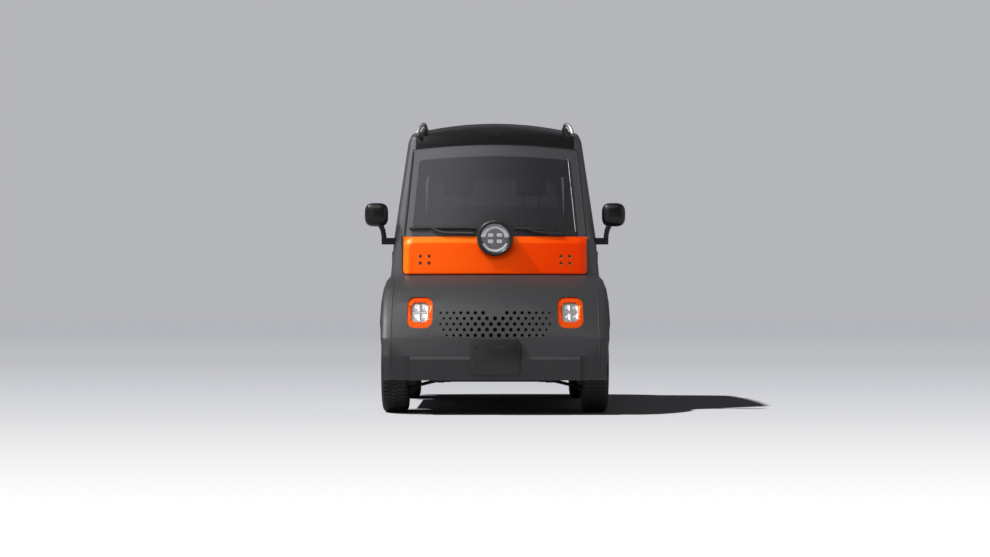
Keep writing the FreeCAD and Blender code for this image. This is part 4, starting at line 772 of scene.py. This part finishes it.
finished("side_lamp_cells", to_mesh(cells, "side_lamp_cells", 60), cell_chrome, "body")
shown("side_lamp_bars", bars, 60, silver)
shown("side_lamp_bulbs", bulbs, 40, lamp_white)


# Windshield: dark side seams, and one bright line up its right edge as a painted highlight

screen_skin = Surface("windshield")


def screen_line(inset, low, high, side, lift, steps=30):
    """Points up one side of the windshield, a little in from its edge."""
    points = []
    for step in range(steps + 1):
        z = low + (high - low) * step / steps
        half = SCREEN_HALF + SCREEN_TAPER * (z - SCREEN_FOOT) - inset
        points.append(screen_skin.front(side * half, z, lift))
    return [point for point in points if point is not None]


seams, lines = bmesh.new(), bmesh.new()
for side in (1, -1):
    add_tube(seams, screen_line(0.004, 1.012, 1.53, side, 0.001), 7.5 * MM, sides=8, flat=0.5)
# Painted highlight: a bright silver line up the right edge only, where light from the left catches the glass.
add_tube(lines, screen_line(0.060, 1.03, 1.47, 1, 0.0006), 2.2 * MM, sides=6)
shown("screen_side_seams", seams, 60, rubber)
shown("screen_edge_highlight", lines, 60, silver)


# Blank number plate, sensor marks, panel seam and fascia creases

def slab(shape, path, front, back, soft):
    """Add an upright slab whose outline has a soft front edge."""
    middle_x, middle_z = (sum(point[axis] for point in path) / len(path) for axis in (0, 1))
    reach = max(math.hypot(x - middle_x, z - middle_z) for x, z in path)
    rings = []
    for y, shrink in ((back, 0), (front + soft, 0), (front + soft * 0.3, soft * 0.3), (front, soft)):
        share = 1 - shrink / reach
        rings.append([shape.verts.new((middle_x + (x - middle_x) * share, y, middle_z + (z - middle_z) * share))
                      for x, z in path])
    for ring, inner in zip(rings, rings[1:]):
        bridge(shape, ring, inner)
    shape.faces.new(rings[0][::-1])
    shape.faces.new(rings[-1])


plate_low, plate_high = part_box("plate_bracket")
plate_face = plate_low.y
PLATE_ROWS = (0.287, 0.371)
plate, screws, ribs = bmesh.new(), bmesh.new(), bmesh.new()
slab(plate, rounded_path(0.277, 0.198, 0.030, (0, 0.320), 8), plate_face, plate_high.y, 3 * MM)
shown("plate_slab", plate, 30, trim_black, replaces=("plate_bracket",))
for side in (-1, 1):
    for z in PLATE_ROWS:
        add_disc(screws, (side * 0.103, plate_face - 0.001, z), (0, -1, 0), 7.5 * MM, 4 * MM, 20, 6 * MM)
        middle = side * 0.050
        add_block(ribs, (middle - 0.034, plate_face - 0.0022, z - 0.0045),
                  (middle + 0.034, plate_face + 0.001, z + 0.0045))
softened(ribs, 1.2 * MM, 2)
shown("plate_screws", screws, 30, gloss_black)
shown("plate_ribs", ribs, 40, trim_black)

SENSOR_PLACES = ((-0.325, 0.438), (0.325, 0.438))
marks, seam, creases = bmesh.new(), bmesh.new(), bmesh.new()
for centre in SENSOR_PLACES:
    path = rounded_path(0.026, 0.022, 0.007, centre)
    loop = [Vector((x, nose_skin.front(x, z).y - 0.0004, z)) for x, z in path]
    add_tube(marks, loop, 0.9 * MM, closed=True, sides=6)
shown("sensor_marks", marks, 60, trim_black)
PANEL_EDGE = [(0.5365, 0.99), (0.5365, 0.90), (0.5365, 0.812), (0.531, 0.790), (0.515, 0.7785)]
seam_line = PANEL_EDGE + [(0.48 - 0.04 * step, 0.7775) for step in range(25)]
seam_line += [(-x, z) for x, z in PANEL_EDGE[::-1]]
add_tube(seam, [Vector((x, panel_y(x, z) - 0.001, z)) for x, z in seam_line], 4.5 * MM, sides=8)
shown("panel_seam", seam, 60, rubber)
for side in (1, -1):
    points = [nose_skin.front(side * 0.578, 0.745 - 0.02 * step, 0.0004) for step in range(26)]
    add_tube(creases, [point for point in points if point is not None], 2.6 * MM, sides=8)
shown("fascia_creases", creases, 60, fascia_satin)


# Wipers

screen_y = skin_fit(cabin_front, [-0.48 + 0.06 * step for step in range(17)], [1.01, 1.03, 1.05, 1.08, 1.12])


def on_screen(x, z, lift):
    """A point over the glass, or over the panel below it."""
    return Vector((x, screen_y(x, z) - lift, z))


BLADE_STEPS = 24
ARM_RADII = [6 * MM, 8 * MM, 9.5 * MM, 10 * MM]
LEFT_WIPER = ((-0.496, 1.049), (-0.112, 1.049),
              [(-0.370, 1.052), (-0.335, 1.034), (-0.295, 1.022), (-0.125, 1.017)])
RIGHT_WIPER = ((0.112, 1.046), (0.262, 1.042),
               [(0.190, 1.045), (0.235, 1.028), (0.330, 1.019), (0.392, 1.015)])
blades, arms = bmesh.new(), bmesh.new()
for start, end, base in (LEFT_WIPER, RIGHT_WIPER):
    spine = [[first + (last - first) * step / BLADE_STEPS for first, last in zip(start, end)]
             for step in range(BLADE_STEPS + 1)]
    add_tube(blades, [on_screen(x, z, 0.004) for x, z in spine], 9.5 * MM, sides=8)
    add_tube(blades, [on_screen(x, z + 0.003, 0.010) for x, z in spine[2:-2]], 6.0 * MM, sides=8)
    add_tube(arms, [on_screen(x, z, 0.016) for x, z in base], ARM_RADII)
    add_disc(arms, on_screen(*base[-1], 0.009), (0, -1, 0.3), 10 * MM, 14 * MM, 20, 8 * MM)
shown("wiper_blades", blades, 50, rubber, replaces=("wipers",))
shown("wiper_arms", arms, 50, trim_black)


# Mirrors

MIRROR = Vector((0.692, -0.587, 1.131))
MIRROR_HALF, MIRROR_NOSE, MIRROR_BACK = (0.0685, 0.069), 0.046, 0.016
STALK = [(0.672, -0.594, 1.080), (0.663, -0.596, 1.062), (0.654, -0.598, 1.040), (0.649, -0.598, 1.015),
         (0.647, -0.598, 0.990), (0.646, -0.598, 0.972)]
STALK_RADII = [radius * MM for radius in (17, 16, 15, 14.5, 15, 16)]


def mirror_shape(rings=12):
    """Both mirrors' housings, with their bent stalks and brackets."""
    housing, loops = bmesh.new(), []
    for lean in (math.pi * ring / rings for ring in range(1, rings)):
        spread, along = math.sin(lean) ** 0.55, -math.cos(lean)
        y = along * (MIRROR_NOSE if along < 0 else MIRROR_BACK)
        half_x, half_z = (half * spread for half in MIRROR_HALF)
        corners = [squared_circle(turn, 0.62) for turn in turns(40)]
        loops.append([housing.verts.new(MIRROR + Vector((x * half_x, y, z * half_z))) for x, z in corners])
    for loop, following in zip(loops, loops[1:]):
        bridge(housing, loop, following)
    for loop, y in ((loops[0], -MIRROR_NOSE), (loops[-1], MIRROR_BACK)):
        pole = housing.verts.new(MIRROR + Vector((0, y, 0)))
        for corner, beside in zip(loop, loop[1:] + loop[:1]):
            housing.faces.new((corner, beside, pole))
    add_tube(housing, [Vector(point) for point in STALK], STALK_RADII, sides=16)
    add_block(housing, (0.575, -0.616, 0.957), (0.660, -0.580, 0.995))
    return mirrored_too(outward(housing))


shown("mirror_shells", mirror_shape(), 40, mirror_black, replaces=("mirrors",))
mirror_glass = bmesh.new()
for side in (1, -1):
    path = rounded_path(0.112, 0.112, 0.036, (side * MIRROR.x, MIRROR.z), 8)
    front, back = ([mirror_glass.verts.new((x, y, z)) for x, z in path] for y in (-0.572, -0.5695))
    mirror_glass.faces.new(front)
    mirror_glass.faces.new(back[::-1])
    bridge(mirror_glass, front, back)
shown("mirror_glass", mirror_glass, 30, reflector)


# Seal inside the tailgate's gap

SEAL_INSET, SEAL_LIFT = 0.004, 0.007
INSIDE_Y = 0.6
BACKWARDS = (0, 1, 0)
gate_wall = Surface("rear_quarter_left", "rear_quarter_right", "tailgate", "roof_panel", "rear_bumper")
gate_low, gate_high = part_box("tailgate")
gate_middle = (gate_low.z + gate_high.z) / 2
seal, seal_points = bmesh.new(), []
for x, z in dense(rounded_path(gate_high.x - gate_low.x, gate_high.z - gate_low.z, 0.045, (0, gate_middle))):
    inwards = Vector((-x, 0, gate_middle - z)).normalized() * SEAL_INSET
    point = gate_wall.hit(Vector((x, INSIDE_Y, z)) + inwards, BACKWARDS)
    if point is not None:
        seal_points.append(point - Vector((0, SEAL_LIFT, 0)))
add_tube(seal, seal_points, 0.024, closed=True, flat=0.35)
shown("tailgate_seal", seal, 60, rubber)


# Roof rails

RAIL_BEND = [(0.462, -0.372, 1.622), (0.457, -0.352, 1.645), (0.446, -0.325, 1.670), (0.431, -0.285, 1.688),
             (0.424, -0.230, 1.693)]
RAIL_MIDDLE, RAIL_FOOT_STEP, RAIL_UNDERSIDE = 0.135, 0.480, 1.686
RAIL_LINE = RAIL_BEND + [(x, 2 * RAIL_MIDDLE - y, z) for x, y, z in RAIL_BEND[::-1]]
rails, rail_feet = bmesh.new(), bmesh.new()
roof_skin = Surface("roof_panel")
for side in (1, -1):
    add_tube(rails, [Vector((side * x, y, z)) for x, y, z in RAIL_LINE], 11 * MM, sides=14)
    for y in (RAIL_MIDDLE - RAIL_FOOT_STEP, RAIL_MIDDLE, RAIL_MIDDLE + RAIL_FOOT_STEP):
        points = []
        for x, lift in ((0.440, -0.012), (0.428, 0.012), (0.418, 0.035)):
            roof_z = roof_skin.hit((side * x, y, 3), (0, 0, -1)).z
            points.append(Vector((side * x, y, min(roof_z + lift, RAIL_UNDERSIDE))))
        add_tube(rail_feet, points, [17 * MM, 15 * MM, 12 * MM], sides=12)
shown("rail_bars", rails, 40, silver, replaces=("roof_rails",))
shown("rail_feet", rail_feet, 40, trim_black)


# Steering wheel and seats

dressed(NODES["steering_wheel"], grip, BODY_OF["steering_wheel"])
VOXEL, PRESSURE, CLOTH_FRAMES = 0.006, 4.0, 20


def swollen(piece, cap):
    """Move a mesh's corners as air pressure in a cloth of its shape does, each by no more than the cap."""
    start = piece.data
    cloth = piece.modifiers.new("filling", "CLOTH")
    cloth.settings.use_pressure, cloth.settings.uniform_pressure_force = True, PRESSURE
    cloth.settings.effector_weights.gravity = 0
    cloth.point_cache.frame_start, cloth.point_cache.frame_end = 1, CLOTH_FRAMES
    for frame_number in range(1, CLOTH_FRAMES + 1):
        bpy.context.scene.frame_set(frame_number)
    filled = evaluated(piece)
    piece.modifiers.remove(cloth)
    for vert, moved in zip(start.vertices, filled.vertices):
        shift = moved.co - vert.co
        vert.co = vert.co + shift * min(1, cap / max(shift.length, 1e-9))
    bpy.context.scene.frame_set(1)


def plumped(node, shrink, cap, finer):
    """One seat's soft piece, swollen by cloth pressure, and its mirror image, as one mesh."""
    shape = merged_node(node)
    bmesh.ops.delete(shape, geom=[vert for vert in shape.verts if vert.co.x < 0], context="VERTS")
    low, high = (Vector([limit(vert.co[axis] for vert in shape.verts) for axis in range(3)])
                 for limit in (min, max))
    for vert in shape.verts:
        for axis in range(3):
            middle, half = (low[axis] + high[axis]) / 2, (high[axis] - low[axis]) / 2
            vert.co[axis] = middle + (vert.co[axis] - middle) * (1 - shrink / half)
    piece = bpy.data.objects.new(node + "_cover", to_mesh(shape, node + "_cover", 180))
    bpy.context.scene.collection.objects.link(piece)
    voxels = piece.modifiers.new("even_mesh", "REMESH")
    voxels.mode, voxels.voxel_size, voxels.use_smooth_shade = "VOXEL", VOXEL, True
    start = evaluated(piece)
    piece.modifiers.remove(voxels)
    piece.data = start
    swollen(piece, cap)
    if finer:
        split = piece.modifiers.new("finer", "SUBSURF")
        split.levels = split.render_levels = 1
        piece.data = evaluated(piece)
        piece.modifiers.remove(split)
    pair = bmesh.new()
    pair.from_mesh(piece.data)
    bpy.data.objects.remove(piece)
    cover = to_mesh(mirrored_too(pair), node + "_pair", 180)
    finished(node + "_covers", cover, fabric, BODY_OF[node], (node,))


plumped("seat_cushions", 0.009, 0.010, False)
plumped("seat_backs", 0.009, 0.010, False)
plumped("headrests", 0.006, 0.008, True)


# Tail

WINDOW_SIZE, WINDOW_ROUND, WINDOW_MIDDLE = (0.838, 0.172), 0.075, (0, 1.345)
window_ring, loop = bmesh.new(), []
gate_glass = Surface("tailgate_glass")
for x, z in dense(rounded_path(*WINDOW_SIZE, WINDOW_ROUND, WINDOW_MIDDLE)):
    point = gate_glass.hit((x, INSIDE_Y, z), BACKWARDS)
    if point is not None:
        loop.append(point - Vector((0, 0.004, 0)))
add_tube(window_ring, loop, 4.5 * MM, closed=True, sides=8)
shown("rear_window_ring", window_ring, 60, lamp_grey, body="rear_gate")

latch, latch_rim, cat_eyes = bmesh.new(), bmesh.new(), bmesh.new()
latch_y = Surface("tailgate").back(0, 0.900).y
add_block(latch, (-0.075, latch_y - 0.004, 0.885), (0.075, latch_y + 0.010, 0.912))
softened(latch, 5 * MM, 3)
rim_path = [Vector((x, latch_y + 0.001, z)) for x, z in rounded_path(0.190, 0.062, 0.024, (0, 0.898))]
add_tube(latch_rim, rim_path, 3 * MM, closed=True, sides=8)
shown("gate_latch", latch, 40, trim_black, body="rear_gate")
shown("gate_latch_rim", latch_rim, 60, trim_black, body="rear_gate")
bumper_skin = Surface("rear_bumper")
for x in (0.470, -0.470):
    eye_y = bumper_skin.back(x, 0.420).y
    add_block(cat_eyes, (x - 0.045, eye_y - 0.012, 0.408), (x + 0.045, eye_y + 0.003, 0.432))
softened(cat_eyes, 4 * MM, 2)
shown("rear_reflectors", cat_eyes, 40, lamp_red)


# Camera, floor and light

CAMERA_PLACE, CAMERA_LENS, CAMERA_RISE = (0, -11.855, 0.61), 70.2, 0.757
camera_data = bpy.data.cameras.new("camera")
camera_data.lens, camera_data.sensor_width, camera_data.sensor_fit = CAMERA_LENS, 36, "HORIZONTAL"
camera_data.clip_end = 200
camera = bpy.data.objects.new("camera", camera_data)
camera.location = CAMERA_PLACE
camera.rotation_euler = (math.radians(90 + CAMERA_RISE), 0, 0)
bpy.context.scene.collection.objects.link(camera)
bpy.context.scene.camera = camera

BACKGROUND, SKY_STRENGTH, GLOSS_SHARE = (0.463, 0.468, 0.497), 0.11, 0.3
FLOOR_REACH = 60.0
# Painted light: the floor's colour is white in front of the car and greyer towards the back, standing in for
# the fall-off of the studio light. Both far ends fade to the backdrop's grey.
FLOOR_PAINTED_LIGHT_STOPS = (
    (-26.0, (0.403, 0.408, 0.434)), (-9.0, (0.88, 0.88, 0.885)), (-6.2, (0.90, 0.90, 0.90)),
    (-4.8, (0.81, 0.81, 0.81)), (-3.3, (0.725, 0.725, 0.735)), (-1.3, (0.62, 0.625, 0.64)),
    (1.1, (0.556, 0.562, 0.593)), (4.1, (0.498, 0.504, 0.533)), (8.5, (0.452, 0.457, 0.48)),
    (26.0, (0.403, 0.408, 0.434)))


def studio_floor():
    """A wide floor that is white near the camera and grey far away, as painted light fall-off."""
    mesh = bpy.data.meshes.new("studio_floor")
    corners = [(x * FLOOR_REACH, y * FLOOR_REACH, 0) for x, y in ((-1, -1), (1, -1), (1, 1), (-1, 1))]
    mesh.from_pydata(corners, [], [(0, 1, 2, 3)])
    floor = bpy.data.objects.new("studio_floor", mesh)
    bpy.context.scene.collection.objects.link(floor)
    cover = Finish("floor_cover", (0.7, 0.7, 0.7), 0.9, Specular_IOR_Level=0.0)
    low, high = FLOOR_PAINTED_LIGHT_STOPS[0][0], FLOOR_PAINTED_LIGHT_STOPS[-1][0]
    stops = [((y - low) / (high - low), colour) for y, colour in FLOOR_PAINTED_LIGHT_STOPS]
    share = (cover.along("Y") - low) * (1 / (high - low))
    cover.set(cover.surface, {"Base Color": cover.add("ShaderNodeValToRGB", {"stops": stops}, {0: share})})
    mesh.materials.append(cover.material)
    floor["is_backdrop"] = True
    return floor


floor = studio_floor()
world = bpy.data.worlds.new("studio")
bpy.context.scene.world = world
world.use_nodes = True
sky = Shader(world.node_tree)
faint = sky.tree.nodes["Background"]
sky.set(faint, {"Color": (0.5, 0.5, 0.52, 1), "Strength": SKY_STRENGTH})
backdrop = sky.add("ShaderNodeBackground", {}, {"Color": (*BACKGROUND, 1), "Strength": 1.0})
in_gloss = sky.add("ShaderNodeLightPath", {}, {}, "Is Glossy Ray") * GLOSS_SHARE
in_view = sky.math("MAXIMUM", sky.add("ShaderNodeLightPath", {}, {}, "Is Camera Ray"), in_gloss)
both = sky.add("ShaderNodeMixShader", {}, {0: in_view, 1: Value(sky, faint.outputs[0]), 2: backdrop})
sky.set(sky.tree.nodes["World Output"], {"Surface": both})


def lamp(name, kind, power, place, target, receivers, size=None):
    """A studio lamp that looks at a target and lights one collection."""
    data = bpy.data.lights.new(name, kind)
    data.energy = power
    if size:
        data.shape, data.size, data.size_y = "RECTANGLE", *size
    else:
        data.angle = math.radians(SUN_ANGLE)
    light = bpy.data.objects.new(name, data)
    light.location = place
    light.rotation_euler = (Vector(target) - Vector(place)).to_track_quat("-Z", "Y").to_euler()
    bpy.context.scene.collection.objects.link(light)
    light.light_linking.receiver_collection = receivers
    return light


CAR = bpy.data.collections.new("car_pieces")
MATT = bpy.data.collections.new("pieces_without_a_mirror_skin")
GROUND = bpy.data.collections.new("ground")
GROUND.objects.link(floor)
SUN_PLACE, SUN_ANGLE = (-1.19, -0.02, 1.7), 1.6
lamp("key", "SUN", 2.4, SUN_PLACE, (0, 0, 0), CAR)
lamp("floor_key", "SUN", 4.15, SUN_PLACE, (0, 0, 0), GROUND)
lamp("top_soft", "AREA", 430, (-2.6, -3.0, 6.5), (0, -0.7, 0.8), MATT, (9, 6))
lamp("front_soft", "AREA", 95, (-5.5, -8.0, 3.0), (0, -0.6, 0.8), CAR, (7, 5))
lamp("right_soft", "AREA", 80, (7.5, -2.0, 3.5), (0, 0, 0.9), CAR, (6, 5))
lamp("left_soft", "AREA", 36, (-7.5, 1.0, 2.5), (0, 0, 0.9), CAR, (6, 5))
back_soft = lamp("back_soft", "AREA", 260, (1.5, 8.5, 4.0), (0, 0.6, 0.9), CAR, (6, 5))
back_soft.visible_glossy = False

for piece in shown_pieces():
    CAR.objects.link(piece)
    if piece.name not in ("windshield_skin", "roof_panel_skin"):
        MATT.objects.link(piece)

bpy.context.scene.view_settings.view_transform = "Standard"
